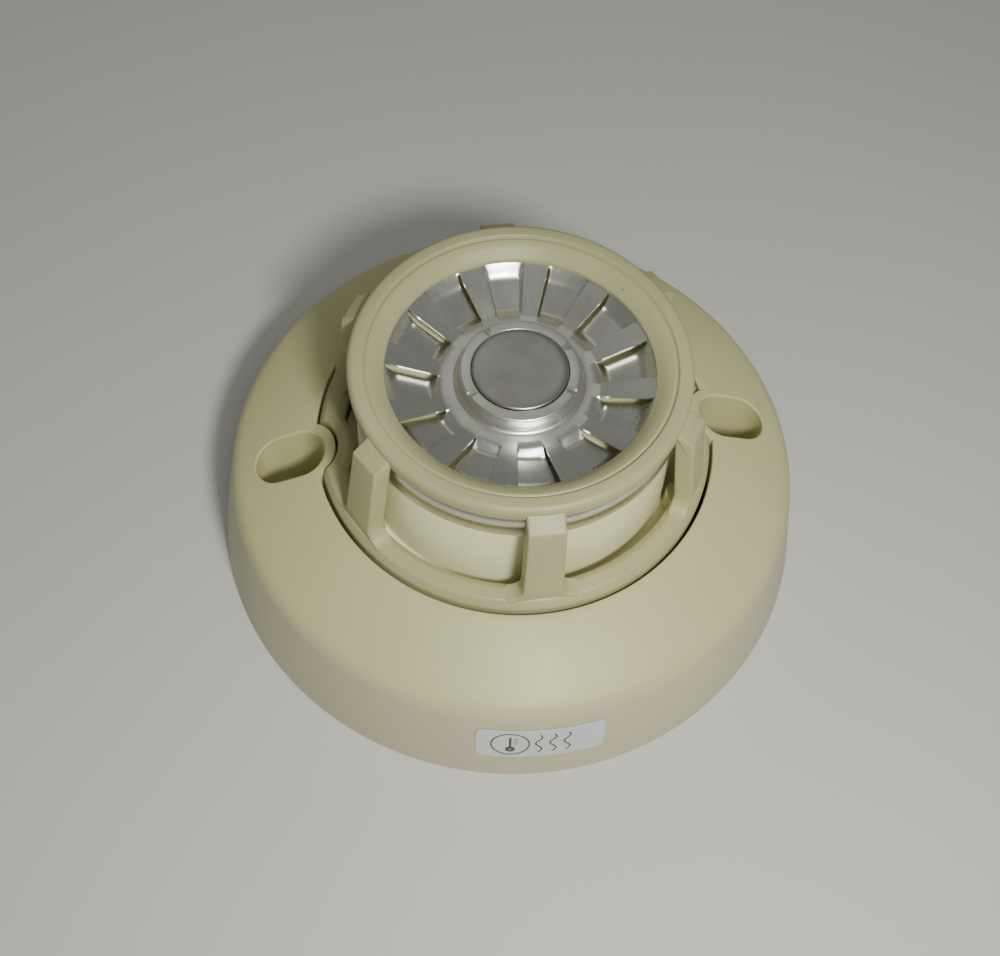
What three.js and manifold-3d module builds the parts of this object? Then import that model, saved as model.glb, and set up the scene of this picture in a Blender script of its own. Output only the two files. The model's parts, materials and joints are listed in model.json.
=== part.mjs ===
// Plug-in heat detector: a ceiling base with a removable sensing head.
// Millimetres, +Z from the ceiling face towards the sensing end, screw wells on the X axis.
import * as THREE from "three";
import { mergeVertices } from "three/addons/utils/BufferGeometryUtils.js";
import Module from "manifold-3d";

const wasm = await Module();
wasm.setup();

// Fits and facets
const gap = 0.3; // between neighbouring pieces
const headGap = 0.4; // between the plug-in head and the base around it
const boltGap = 0.3; // round a screw or rivet shank
const roundFacets = 36;
const smallFacets = 10;
const curveSteps = 2;
const through = 80; // longer than anything it cuts
const bite = 0.5; // how far joined shapes reach into each other

// Base housing
const skirtRadius = 54.5;
const sideLean = 3.9; // how far the side wall leans in on its way up
const shoulderRadius = skirtRadius - sideLean;
const shoulderHeight = 18.9;
const shoulderSoftness = 1.2;
const shoulderEdge = 0.3;
const shoulderDip = 0.12;
const coneTop = 25.4;
const coneDome = 0.45; // bulge of the cone above a straight slope
const mouthRadius = 35.3;
const mouthEdge = 0.4;
const skirtWall = 2.2;
const mouthWall = 1.9;
const mouthTubeFoot = 5.1;
const ribWidth = 1.6;
const ribFoot = 3;
const ribAngles = [30, 60, 90, 120, 150, 210, 240, 270, 300, 330];

// Screw wells
const wellScrewPitch = 83.5; // outer seats, on a standard round ceiling box
const wellHalfWidth = 4.3;
const wellTravel = 3.8; // length of the straight part of the oval
const wellWall = 2;
const wellFloor = 8.5;
const wellFloorThickness = 2.6;
const wellSlotHalfWidth = 2.3;
const wellSlotInset = 1; // from the well's inner seat

// Terminal plate and its screws
const plateRadius = 38.2;
const plateThickness = 2.6;
const cableHoleRadius = 8;
const cableCollar = 1.5;
const cableCollarHeight = 2.2;
const plateScrewCircle = 40.2;
const plateScrewAngles = [90, 210, 330];
const plateScrewRadius = 1.3;
const plateScrewLength = 12;
const plateScrewHead = 2.6;
const plateScrewHeadHeight = 1.3;
const plateBossRadius = 3.2;
const recessHalfWidth = 0.35; // cross recess in a screw head
const recessReach = 1.4;
const recessDepth = 0.7;

// Terminals
const bladeOffset = 17; // blade centre from the axis
const bladeThickness = 0.8;
const bladeWidth = 5;
const bladeFoot = 8.5;
const forkWidth = 4;
const forkTop = 14.5;
const forkClearance = 0.3;
const stripThickness = 0.8;
const stripEnd = bladeOffset + 7.5;
const stripSide = 4;
const clampScrewAt = [-bladeOffset - 3, 9];
const clampScrewRadius = 1.6;
const clampScrewHead = 3.3;
const clampScrewHeadHeight = 2.4;
const clampScrewTip = 1.2;
const clampScrewSlot = 0.9;
const clampScrewSlotDepth = 1.1;
const clampScrewTurn = 35;
const clampPlateSide = 8;
const clampPlateThickness = 1;
const bracketRivetAt = [-bladeOffset - 4.5, -1.5];
const rivetRadius = 1.2;
const rivetHead = 2.1;
const rivetHeadHeight = 0.8;
const rivetTail = 0.6; // proud of the plate's underside
const rivetDepth = 3; // into the contact carrier

// Cage
const cageWallRadius = mouthRadius - headGap;
const cageWall = 1.2;
const cageFoot = 18.5;
const sillInner = 31.5;
const sillTop = 27.3;
const sillThickness = 3.1;
const sillChamfer = 0.8;
const sillEdge = 0.3;
const notchBand = 2.9;
const ringTop = 47.8;
const ringRadius = 28.3;
const ringFoot = ringTop - 2.7;
const ringUnderside = 0.8; // width of the bevel under the ring
const ringShoulderHeight = 1.5;
const ringShoulderWidth = 1.1;
const lipRadius = 22.3;
const creaseRadius = 25.5;
const creaseDepth = 0.35;
const creaseWidth = 0.5;
const lipFoot = 0.8;
const legCount = 6;
const legFirstAngle = 30;
const legTopReach = 31.05;
const legTopHeight = ringTop - 3;
const legFootReach = 33.3;
const legFootHeight = 29.2;
const legDepth = 3.2;
const legTopHalfWidth = 2.55;
const legFootHalfWidth = 3.2;
const legFlare = 1.8;
const legSeat = 1.1; // how far a leg's end stays below the ring's top
const legInset = 0.6; // how far it reaches into the ring

// Collector plate and sensing cup
const sheet = 0.6;
const collectorTop = ringFoot - 0.9;
const collectorRim = 27.6;
const collectorRimFoot = collectorTop - 5.7;
const collectorRimRound = 1.6;
const hubHeight = collectorTop - 2.6;
const fieldOuter = 22.6;
const panelCount = 12;
const panelHalfAngle = 9.5;
const panelDrop = 1.3;
const panelRamp = 2.4;
const panelRampOut = 1.4;
const riserAngle = 0.8; // how far a panel runs under its strip
const slitWidth = 0.35;
const capRadius = 7.95;
const capEdge = 0.3;
const capBrimRadius = capRadius + 1.25;
const cupBore = capRadius + gap;
const cupRadius = capBrimRadius + 0.9;
const cupEdge = 0.4;
const cupTop = collectorTop + 0.4;
const capTop = cupTop + 0.4;
const capFoot = cupTop - 3.2;
const hubFillet = 1;
const hubInner = cupRadius + hubFillet;
const hubOuter = hubInner + 2.1;
const discRadius = capRadius - 1.15;
const discThickness = 0.35;
const discDome = 0.7;
const retainerInner = discRadius - 1.4;
const retainerHeight = 1.1;
const retainerProud = 0.4; // below the cap's foot

// Inner housing
const innerWallFoot = 27.9;
const innerWallTop = 27.3;
const innerWall = 1.7;
const deckTop = collectorTop - 6.2;
const deckThickness = 1.8;
const upstandRadius = 26.6;
const upstandWall = 2;
const flangeRadius = 30.6;
const flangeTop = 21;
const flangeFoot = 19.3;
const footFillet = 0.5;
const topFillet = 0.3;
const sealInner = 26.4;
const sealOuter = 28.4;
const sealHeight = 0.9;
const guideRadius = 2.6;
const guideFlange = 4;
const guideFoot = deckTop - 4.6;
const guideFlangeHeight = 1.1;

// Push pin, leaf and contacts
const pinRadius = 1;
const pinHeadRadius = 1.8;
const pinHeadHeight = 0.8;
const leafTop = 30.75;
const leafThickness = 0.4;
const leafWidth = 5;
const leafRoot = 5 - bladeOffset; // rivet that the leaf bends about
const leafTail = 2;
const leafReach = 8;
const contactOffset = 6;
const contactRadius = 1.3;
const contactHeight = 0.75;
const contactStem = 0.6;
const contactStemEnd = 0.4; // proud of its strip
const contactOpenGap = 1.15;

// Head back plate and its screws
const backTop = flangeFoot - gap;
const backThickness = 2;
const backRadius = 30.5;
const headScrewCircle = 30.9;
const headScrewAngles = [90, 210, 330];
const headScrewRadius = 1.2;
const headScrewHead = 2.3;
const headScrewHeadHeight = 1.3;
const headScrewTip = 24;
const earRadius = 2.4;
const carrierLength = 2 * bladeOffset - 3;
const carrierWidth = 16;
const carrierBase = 3;
const pedestalLength = 8;
const pedestalInset = 1.5;
const holeEnd = 0.4; // beyond a screw's or rivet's end
const carrierScrewOffset = 5.5;
const carrierScrewTip = 21.4;

// Rating label
const labelWidth = 22.6;
const labelHeight = 8.2;
const labelMiddle = 10.8; // height of its centre
const labelTurn = -2.2; // from the front, in degrees
const labelCorner = 1.4;
const labelThickness = 0.2;
const labelGap = 0.12;

const radians = THREE.MathUtils.degToRad;

// ---- shape helpers ----

// A closed three.js geometry as a manifold solid.
function solid(geometry) {
  const bare = geometry.index ? geometry.toNonIndexed() : geometry.clone();
  bare.deleteAttribute("normal");
  bare.deleteAttribute("uv");
  const merged = mergeVertices(bare, 1e-4);
  const corners = [];
  const index = merged.index.array;
  for (let i = 0; i < index.length; i += 3) {
    const [a, b, c] = [index[i], index[i + 1], index[i + 2]];
    if (a !== b && b !== c && c !== a) corners.push(a, b, c);
  }
  const mesh = new wasm.Mesh({
    numProp: 3,
    vertProperties: merged.attributes.position.array,
    triVerts: new Uint32Array(corners),
  });
  return new wasm.Manifold(mesh);
}

// A path through [x, y] points.
function outline(points) {
  return new THREE.Shape(points.map(([x, y]) => new THREE.Vector2(x, y)));
}

// A solid of revolution about Z from an outline in (radius, height), anticlockwise.
function turned(path, facets = roundFacets) {
  const points = path.getPoints(curveSteps);
  const last = points[points.length - 1];
  const open = points[0].distanceTo(last) > 1e-6;
  if (open && (points[0].x > 0 || last.x > 0)) points.push(points[0].clone());
  const geometry = new THREE.LatheGeometry(points, facets);
  geometry.rotateX(Math.PI / 2);
  return solid(geometry);
}

// A disc, ring or cylinder between two heights, centred on (x, y).
function round(radius, low, high, x = 0, y = 0, facets = smallFacets) {
  const geometry = new THREE.CylinderGeometry(radius, radius, high - low, facets);
  geometry.rotateX(Math.PI / 2);
  geometry.translate(x, y, (low + high) / 2);
  return solid(geometry);
}

function tube(outer, inner, low, high, facets = roundFacets) {
  return round(outer, low, high, 0, 0, facets).subtract(round(inner, low - 1, high + 1, 0, 0, facets));
}

function block(x0, x1, y0, y1, z0, z1) {
  const geometry = new THREE.BoxGeometry(x1 - x0, y1 - y0, z1 - z0);
  geometry.translate((x0 + x1) / 2, (y0 + y1) / 2, (z0 + z1) / 2);
  return solid(geometry);
}

// A flat outline in X and Y, raised between two heights.
function prism(shape, low, high) {
  const settings = { depth: high - low, bevelEnabled: false, curveSegments: 4 };
  const geometry = new THREE.ExtrudeGeometry(shape, settings);
  geometry.translate(0, 0, low);
  return solid(geometry);
}

function spun(part, degrees) {
  return part.rotate([0, 0, degrees]);
}

function withOpposite(part) {
  return part.add(spun(part, 180));
}

function joined(parts) {
  return parts.reduce((sum, part) => sum.add(part));
}

function circlePoint(radius, degrees) {
  return [radius * Math.cos(radians(degrees)), radius * Math.sin(radians(degrees))];
}

// ---- shared outlines ----

// Height of the skirt's cone at a radius; inside the mouth it carries on at the same slope.
function coneHeight(radius) {
  const along = (shoulderRadius - radius) / (shoulderRadius - mouthRadius);
  const rise = (coneTop - shoulderHeight) * along;
  return shoulderHeight + rise + 4 * coneDome * along * Math.max(0, 1 - along);
}

function conePoints(fromRadius, toRadius, drop, steps = 4) {
  return Array.from({ length: steps + 1 }, (_, i) => {
    const radius = THREE.MathUtils.lerp(fromRadius, toRadius, i / steps);
    return [radius, coneHeight(radius) - drop];
  });
}

// Radius of the side wall at a height.
function sideRadius(height) {
  return THREE.MathUtils.lerp(skirtRadius, shoulderRadius, height / shoulderHeight);
}

const wellOuterSeat = wellScrewPitch / 2;
const wellInnerSeat = wellOuterSeat - wellTravel;

// An oval along +X between the centres of its two round ends.
function oval(inner, outer, radius) {
  const shape = new THREE.Shape();
  shape.moveTo(inner, -radius);
  shape.lineTo(outer, -radius);
  shape.absarc(outer, 0, radius, -Math.PI / 2, Math.PI / 2, false);
  shape.lineTo(inner, radius);
  shape.absarc(inner, 0, radius, Math.PI / 2, 1.5 * Math.PI, false);
  return shape;
}

// Both screw wells, grown by a margin.
function bothWells(low, high, margin) {
  return withOpposite(prism(oval(wellInnerSeat, wellOuterSeat, wellHalfWidth + margin), low, high));
}

// ---- base ----

// Everything inside the skirt's outer surface, closed over the mouth.
function skirtEnvelope() {
  const innermost = wellInnerSeat - wellHalfWidth - wellWall - bite;
  const cone = conePoints(shoulderRadius - shoulderSoftness, innermost, 0, 6);
  return turned(outline([[0, 0], ...sideOutline(), ...cone, [0, coneHeight(innermost)]]));
}

function sideOutline() {
  const below = shoulderHeight - shoulderSoftness;
  return [
    [skirtRadius, 0],
    [sideRadius(below), below],
    [shoulderRadius - shoulderEdge, shoulderHeight - shoulderDip],
  ];
}

function skirtShell() {
  const mouthTop = conePoints(shoulderRadius - shoulderSoftness, mouthRadius + mouthEdge, 0);
  const tubeOuter = mouthRadius + mouthWall;
  const underside = conePoints(tubeOuter, shoulderRadius - skirtWall, skirtWall);
  return turned(
    outline([
      ...sideOutline(),
      ...mouthTop,
      [mouthRadius, coneTop - mouthEdge],
      [mouthRadius, mouthTubeFoot],
      [tubeOuter, mouthTubeFoot],
      ...underside,
      [skirtRadius - skirtWall, 0],
    ]),
  );
}

function ribs() {
  const inner = mouthRadius + mouthWall - bite;
  const outer = skirtRadius - skirtWall + bite;
  const rib = block(inner, outer, -ribWidth / 2, ribWidth / 2, ribFoot, coneTop);
  return joined(ribAngles.map((angle) => spun(rib, angle))).subtract(plateRecess());
}

// Room for the terminal plate and its ears under the ribs.
function plateRecess() {
  return round(plateRadius + gap, 0, mouthTubeFoot, 0, 0, roundFacets).add(plateEars(0, mouthTubeFoot, gap));
}

function plateEars(low, high, margin) {
  return joined(
    plateScrewAngles.map((angle) => {
      const [x, y] = circlePoint(plateScrewCircle, angle);
      return round(plateBossRadius + margin, low, high, x, y);
    }),
  );
}

function plateScrewHoles(low, high) {
  return joined(
    plateScrewAngles.map((angle) => {
      const [x, y] = circlePoint(plateScrewCircle, angle);
      return round(plateScrewRadius + boltGap, low, high, x, y);
    }),
  );
}

function wellSlots() {
  const slot = oval(wellInnerSeat + wellSlotInset, wellOuterSeat, wellSlotHalfWidth);
  return withOpposite(prism(slot, 0, wellFloor + bite));
}

function baseHousing() {
  const inside = joined([bothWells(0, through, wellWall), ribs(), plateEars(mouthTubeFoot, coneTop, 0)]);
  return skirtShell()
    .add(inside.intersect(skirtEnvelope()))
    .subtract(bothWells(wellFloor, through, 0))
    .subtract(bothWells(-bite, wellFloor - wellFloorThickness, 0))
    .subtract(wellSlots())
    .subtract(plateScrewHoles(0, mouthTubeFoot + plateScrewLength));
}

const plateTop = mouthTubeFoot - gap;
const plateFoot = plateTop - plateThickness;

function terminalPlate() {
  const [clampX, clampY] = clampScrewAt;
  const [rivetX, rivetY] = bracketRivetAt;
  const clampHole = round(clampScrewRadius + boltGap, 0, through, clampX, clampY);
  const rivetHole = round(rivetRadius + boltGap, 0, through, rivetX, rivetY);
  const collarFacets = roundFacets / 2;
  return round(plateRadius, plateFoot, plateTop, 0, 0, roundFacets)
    .add(plateEars(plateFoot, plateTop, 0))
    .add(round(cableHoleRadius + cableCollar, plateFoot, plateTop + cableCollarHeight, 0, 0, collarFacets))
    .subtract(round(cableHoleRadius, 0, through, 0, 0, collarFacets))
    .subtract(bothWells(0, through, wellWall + gap))
    .subtract(plateScrewHoles(0, through))
    .subtract(withOpposite(clampHole.add(rivetHole)));
}

// A pan-head screw on the Z axis, driven from below, with a cross recess.
function screw(shank, tip, head, headFoot, headTop) {
  const bar = block(-recessReach, recessReach, -recessHalfWidth, recessHalfWidth, 0, headFoot + recessDepth);
  return round(shank, headFoot, tip)
    .add(round(head, headFoot, headTop))
    .subtract(bar.add(spun(bar, 90)));
}

// A rivet on the Z axis with its head on top.
function rivet(foot, headFoot) {
  const head = round(rivetHead, headFoot, headFoot + rivetHeadHeight);
  return round(rivetRadius, foot, headFoot + bite).add(head);
}

function plateScrew() {
  const headTop = plateFoot - gap;
  return screw(plateScrewRadius, plateScrewLength, plateScrewHead, headTop - plateScrewHeadHeight, headTop);
}

const stripFoot = plateTop + gap;
const stripTop = stripFoot + stripThickness;

// A terminal on the -X side: a strip with a clamp screw hole and a spring fork.
function terminalBracket() {
  const [clampX, clampY] = clampScrewAt;
  const [rivetX, rivetY] = bracketRivetAt;
  const half = bladeThickness / 2 + forkClearance;
  const strip = outline([
    [-stripEnd, -stripSide],
    [-bladeOffset + half + stripThickness, -stripSide],
    [-bladeOffset + half + stripThickness, clampY + clampPlateSide / 2],
    [-stripEnd, clampY + clampPlateSide / 2],
  ]);
  const inner = block(half, half + stripThickness, -forkWidth / 2, forkWidth / 2, stripFoot, forkTop);
  const outer = block(-half - stripThickness, -half, -forkWidth / 2, forkWidth / 2, stripFoot, forkTop);
  return prism(strip, stripFoot, stripTop)
    .add(inner.add(outer).translate([-bladeOffset, 0, 0]))
    .subtract(round(clampScrewRadius + boltGap, 0, through, clampX, clampY))
    .subtract(round(rivetRadius + boltGap, 0, through, rivetX, rivetY));
}

const clampFoot = stripTop + gap;
const clampTop = clampFoot + clampPlateThickness;

function clampPlate() {
  const half = clampPlateSide / 2;
  const plate = block(-half, half, -half, half, clampFoot, clampTop);
  return plate.subtract(round(clampScrewRadius + boltGap, 0, through));
}

function clampScrew() {
  const headFoot = clampTop + gap;
  const headTop = headFoot + clampScrewHeadHeight;
  const half = clampScrewSlot / 2;
  const slot = block(-clampScrewHead, clampScrewHead, -half, half, headTop - clampScrewSlotDepth, through);
  const made = round(clampScrewRadius, clampScrewTip, headFoot + bite)
    .add(round(clampScrewHead, headFoot, headTop))
    .subtract(slot);
  return spun(made, clampScrewTurn);
}

function labelSticker() {
  const low = labelMiddle - labelHeight / 2;
  const high = labelMiddle + labelHeight / 2;
  const inner = labelGap;
  const outer = labelGap + labelThickness;
  const skin = turned(
    outline([
      [sideRadius(low - bite) + inner, low - bite],
      [sideRadius(low - bite) + outer, low - bite],
      [sideRadius(high + bite) + outer, high + bite],
      [sideRadius(high + bite) + inner, high + bite],
    ]),
  );
  const half = labelWidth / 2;
  const r = labelCorner;
  const face = new THREE.Shape();
  face.moveTo(-half + r, low);
  face.lineTo(half - r, low);
  face.absarc(half - r, low + r, r, -Math.PI / 2, 0, false);
  face.absarc(half - r, high - r, r, 0, Math.PI / 2, false);
  face.absarc(-half + r, high - r, r, Math.PI / 2, Math.PI, false);
  face.absarc(-half + r, low + r, r, Math.PI, 1.5 * Math.PI, false);
  const window = prism(face, 0, 2 * skirtRadius).rotate([90, 0, 0]);
  return skin.intersect(spun(window, labelTurn));
}

// ---- cage ----

function ring() {
  const path = new THREE.Shape();
  const foot = collectorTop + gap;
  const groove = ringTop - creaseDepth;
  path.moveTo(lipRadius, foot);
  path.lineTo(ringRadius - ringUnderside, foot);
  path.lineTo(ringRadius, ringFoot);
  path.lineTo(ringRadius, ringTop - ringShoulderHeight);
  path.quadraticCurveTo(ringRadius, ringTop, ringRadius - ringShoulderWidth, ringTop);
  path.lineTo(creaseRadius, ringTop);
  path.lineTo(creaseRadius - creaseWidth / 2, groove);
  path.lineTo(creaseRadius - creaseWidth, groove);
  path.quadraticCurveTo(lipRadius, groove, lipRadius, foot + lipFoot);
  path.lineTo(lipRadius, foot);
  return turned(path);
}

// A slab from the sill to the ring, leaning in, with a sloped facet on top and a flared foot.
function leg() {
  const innerTop = legTopReach - legDepth;
  const shelf = cageWallRadius - sillChamfer - sillEdge;
  const side = outline([
    [legFootReach - legDepth, sillTop - sillThickness],
    [shelf, sillTop - sillThickness],
    [shelf, sillTop],
    [legFootReach, legFootHeight],
    [legTopReach, legTopHeight],
    [ringRadius - legInset, ringTop - legSeat],
    [innerTop - legInset, ringTop - legSeat],
    [innerTop, ringFoot],
    [legFootReach - legDepth, legFootHeight],
  ]);
  const broad = legFootHalfWidth + legFlare;
  const slab = prism(side, -broad, broad).rotate([90, 0, 0]);
  const face = new THREE.Shape();
  face.moveTo(-broad, 0);
  face.lineTo(broad, 0);
  face.lineTo(broad, sillTop);
  face.quadraticCurveTo(legFootHalfWidth, sillTop, legFootHalfWidth, sillTop + legFlare);
  face.lineTo(legTopHalfWidth, legTopHeight);
  face.lineTo(legTopHalfWidth, ringTop);
  face.lineTo(-legTopHalfWidth, ringTop);
  face.lineTo(-legTopHalfWidth, legTopHeight);
  face.lineTo(-legFootHalfWidth, sillTop + legFlare);
  face.quadraticCurveTo(-legFootHalfWidth, sillTop, -broad, sillTop);
  const width = prism(face, 0, through).rotate([90, 0, 90]);
  return slab.intersect(width);
}

// The sill under the windows, bent inwards round each screw well.
function sill() {
  const foot = sillTop - sillThickness;
  const outside = turned(
    outline([
      [0, foot],
      [cageWallRadius, foot],
      [cageWallRadius, coneTop],
      [cageWallRadius - sillChamfer, sillTop - sillEdge],
      [cageWallRadius - sillChamfer - sillEdge, sillTop],
      [0, sillTop],
    ]),
  );
  const band = tube(cageWallRadius + bite, sillInner, foot, sillTop + bite);
  const around = bothWells(foot, sillTop + bite, wellWall + headGap + notchBand);
  const innerWallRoom = round(innerWallFoot + gap, 0, through, 0, 0, roundFacets);
  return band.add(around).intersect(outside).subtract(innerWallRoom);
}

function headScrews(radius, low, high) {
  return joined(
    headScrewAngles.map((angle) => {
      const [x, y] = circlePoint(headScrewCircle, angle);
      return round(radius, low, high, x, y);
    }),
  );
}

function cage() {
  const foot = sillTop - sillThickness;
  const housingRoom = round(innerWallFoot + footFillet + gap, flangeTop, sillTop, 0, 0, roundFacets);
  const bosses = headScrews(earRadius, flangeTop + gap, foot + bite).subtract(housingRoom);
  const legs = Array.from({ length: legCount }, (_, i) => spun(leg(), legFirstAngle + (i * 360) / legCount));
  return joined([ring(), ...legs, sill()])
    .add(tube(cageWallRadius, cageWallRadius - cageWall, cageFoot, foot + bite))
    .add(bosses)
    .subtract(bothWells(0, through, wellWall + headGap))
    .subtract(headScrews(headScrewRadius + boltGap, 0, headScrewTip + holeEnd));
}

// ---- collector plate and sensing cup ----

function collectorRimRing() {
  const path = new THREE.Shape();
  const inside = collectorRim - sheet;
  path.moveTo(collectorRim, collectorRimFoot);
  path.lineTo(collectorRim, collectorTop - collectorRimRound);
  path.quadraticCurveTo(collectorRim, collectorTop, collectorRim - collectorRimRound, collectorTop);
  path.lineTo(fieldOuter, collectorTop);
  path.lineTo(fieldOuter, collectorTop - sheet);
  path.lineTo(collectorRim - collectorRimRound, collectorTop - sheet);
  path.quadraticCurveTo(inside, collectorTop - sheet, inside, collectorTop - collectorRimRound);
  path.lineTo(inside, collectorRimFoot);
  return turned(path);
}

function collectorCup() {
  const path = new THREE.Shape();
  path.moveTo(hubOuter, hubHeight - sheet);
  path.lineTo(hubOuter, hubHeight);
  path.lineTo(hubInner, hubHeight);
  path.quadraticCurveTo(cupRadius, hubHeight, cupRadius, hubHeight + hubFillet);
  path.lineTo(cupRadius, cupTop - cupEdge);
  path.lineTo(cupRadius - cupEdge, cupTop);
  path.lineTo(cupBore, cupTop);
  path.lineTo(cupBore, cupTop - sheet);
  path.lineTo(cupRadius - sheet, cupTop - sheet);
  path.lineTo(cupRadius - sheet, hubHeight - sheet);
  return turned(path);
}

// A folded strip of sheet along +X, from its upper edge in (radius, height).
function foldedStrip(points, thickness, halfWidth) {
  const under = points.map(([radius, height]) => [radius, height - thickness]).reverse();
  return prism(outline([...points, ...under]), -halfWidth, halfWidth).rotate([90, 0, 0]);
}

// A wedge about +X between two angles, from the hub to the rim.
function wedge(from, to) {
  const near = hubOuter - sheet;
  const far = fieldOuter + sheet;
  const inner = [circlePoint(near, to), circlePoint(near, from)];
  const outer = [circlePoint(far, from), circlePoint(far, to)];
  return prism(outline([...inner, ...outer]), 0, through);
}

const panelPitch = 360 / panelCount;
const slitAngle = THREE.MathUtils.radToDeg(slitWidth / hubOuter);
const fieldSlope = (collectorTop - hubHeight) / (fieldOuter - hubOuter);

function fieldHeight(radius) {
  return hubHeight + (radius - hubOuter) * fieldSlope;
}

function strip() {
  const top = [
    [hubOuter - sheet, hubHeight],
    [hubOuter, hubHeight],
    [fieldOuter, collectorTop],
    [fieldOuter + sheet, collectorTop],
  ];
  const half = panelPitch / 2 - panelHalfAngle;
  return foldedStrip(top, sheet, fieldOuter).intersect(wedge(-half, half));
}

// A pressed-down panel about +X, joined to the strip on each side that isn't sheared free.
function panel(freeLow, freeHigh) {
  const rampIn = hubOuter + panelRamp;
  const rampOut = fieldOuter - panelRampOut;
  const top = [
    [hubOuter - sheet, hubHeight],
    [hubOuter, hubHeight],
    [rampIn, fieldHeight(rampIn) - panelDrop],
    [rampOut, fieldHeight(rampOut) - panelDrop],
    [fieldOuter, collectorTop],
    [fieldOuter + sheet, collectorTop],
  ];
  const low = -panelHalfAngle + (freeLow ? slitAngle : -riserAngle);
  const high = panelHalfAngle - (freeHigh ? slitAngle : -riserAngle);
  const floor = foldedStrip(top, sheet, fieldOuter).intersect(wedge(low, high));
  const wall = foldedStrip([top[1], top[4]], sheet + panelDrop / 2, sheet / 2);
  const sides = [];
  if (!freeLow) sides.push(spun(wall, -panelHalfAngle));
  if (!freeHigh) sides.push(spun(wall, panelHalfAngle));
  return joined([floor, ...sides]);
}

// Twelve panels pressed below the strips between them; all but the back one are sheared along
// the side that faces the back.
function collectorPlate() {
  const fields = [];
  for (let i = 0; i < panelCount; i++) {
    const middle = 90 + i * panelPitch;
    const freeLow = i > 0 && i < panelCount / 2;
    const freeHigh = i >= panelCount / 2;
    fields.push(spun(panel(freeLow, freeHigh), middle));
    fields.push(spun(strip(), middle + panelPitch / 2));
  }
  return joined([collectorRimRing(), collectorCup(), ...fields]);
}

function sensorCap() {
  const inside = capRadius - sheet;
  const brimTop = cupTop - sheet - gap;
  return turned(
    outline([
      [0, capTop - sheet],
      [inside, capTop - sheet],
      [inside, capFoot],
      [capRadius, capFoot],
      [capRadius, brimTop - sheet],
      [capBrimRadius, brimTop - sheet],
      [capBrimRadius, brimTop],
      [capRadius, brimTop],
      [capRadius, capTop - capEdge],
      [capRadius - capEdge, capTop],
      [0, capTop],
    ]),
    roundFacets / 2,
  );
}

const retainerFoot = capFoot - retainerProud;
const retainerTop = retainerFoot + retainerHeight;
const discRim = retainerTop + gap;

// A thin dome, resting on its rim.
function bimetalDisc() {
  const path = new THREE.Shape();
  const under = discRim + discDome;
  const over = under + discThickness;
  path.moveTo(0, under);
  path.quadraticCurveTo(discRadius / 2, under, discRadius, discRim);
  path.lineTo(discRadius, discRim + discThickness);
  path.quadraticCurveTo(discRadius / 2, over, 0, over);
  return turned(path, roundFacets / 2);
}

function discRetainer() {
  return tube(capRadius - sheet - gap, retainerInner, retainerFoot, retainerTop, roundFacets / 2);
}

// ---- inner housing ----

function innerHousing() {
  const wallInner = innerWallTop - innerWall;
  const top = collectorTop - sheet - gap;
  const path = outline([
    [wallInner, flangeFoot],
    [sealInner - gap, flangeFoot],
    [sealInner - gap, flangeFoot + sealHeight],
    [sealOuter + gap, flangeFoot + sealHeight],
    [sealOuter + gap, flangeFoot],
    [flangeRadius, flangeFoot],
    [flangeRadius, flangeTop],
    [innerWallFoot + footFillet, flangeTop],
    [innerWallFoot, flangeTop + footFillet],
    [innerWallTop, deckTop - topFillet],
    [innerWallTop - topFillet, deckTop],
    [upstandRadius, deckTop],
    [upstandRadius, top],
    [upstandRadius - upstandWall, top],
    [upstandRadius - upstandWall, deckTop],
    [guideRadius + gap, deckTop],
    [guideRadius + gap, deckTop - deckThickness],
    [wallInner, deckTop - deckThickness],
  ]);
  return turned(path)
    .add(headScrews(earRadius, flangeFoot, flangeTop))
    .subtract(headScrews(headScrewRadius + boltGap, 0, flangeTop + bite));
}

function pinGuide() {
  const flangeBase = deckTop + gap;
  return round(guideRadius, guideFoot, flangeBase + bite)
    .add(round(guideFlange, flangeBase, flangeBase + guideFlangeHeight))
    .subtract(round(pinRadius + gap, 0, through));
}

function contactSeal() {
  return tube(sealOuter, sealInner, flangeFoot, flangeFoot + sealHeight - gap);
}

// ---- contacts ----

const leafFoot = leafTop - leafThickness;
const anchorTop = leafFoot - gap;
const anchorFoot = anchorTop - stripThickness;
const movingContactFoot = leafFoot - gap - contactHeight;
const fixedContactTop = movingContactFoot - contactOpenGap;
const fixedContactFoot = fixedContactTop - contactHeight / 2;
const fixedArmTop = fixedContactFoot - gap;
const fixedArmFoot = fixedArmTop - stripThickness;

function pushPin() {
  const headTop = discRim + discDome - gap;
  const head = round(pinHeadRadius, headTop - pinHeadHeight, headTop);
  return round(pinRadius, leafTop + gap, headTop).add(head);
}

function contactLeaf() {
  const half = leafWidth / 2;
  return block(leafRoot - leafTail, leafReach, -half, half, leafFoot, leafTop)
    .subtract(round(rivetRadius + boltGap, 0, through, leafRoot, 0))
    .subtract(round(contactStem + boltGap, 0, through, contactOffset, 0));
}

function movingContact() {
  return round(contactRadius, movingContactFoot, leafFoot - gap, contactOffset, 0)
    .add(round(contactStem, movingContactFoot, leafTop + contactStemEnd, contactOffset, 0));
}

function fixedContact() {
  return round(contactRadius, fixedContactFoot, fixedContactTop, contactOffset, 0)
    .add(round(contactStem, fixedArmFoot - contactStemEnd, fixedContactTop, contactOffset, 0));
}

// A brass strip on a pedestal that turns down into the plug blade.
function bladeStrip(side, reach, foot, top) {
  const outer = side * (bladeOffset + bladeThickness / 2);
  const inner = side * (bladeOffset - bladeThickness / 2);
  const half = bladeWidth / 2;
  const flat = block(Math.min(outer, reach), Math.max(outer, reach), -half, half, foot, top);
  const blade = block(Math.min(outer, inner), Math.max(outer, inner), -half, half, bladeFoot, top);
  return flat.add(blade);
}

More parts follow.
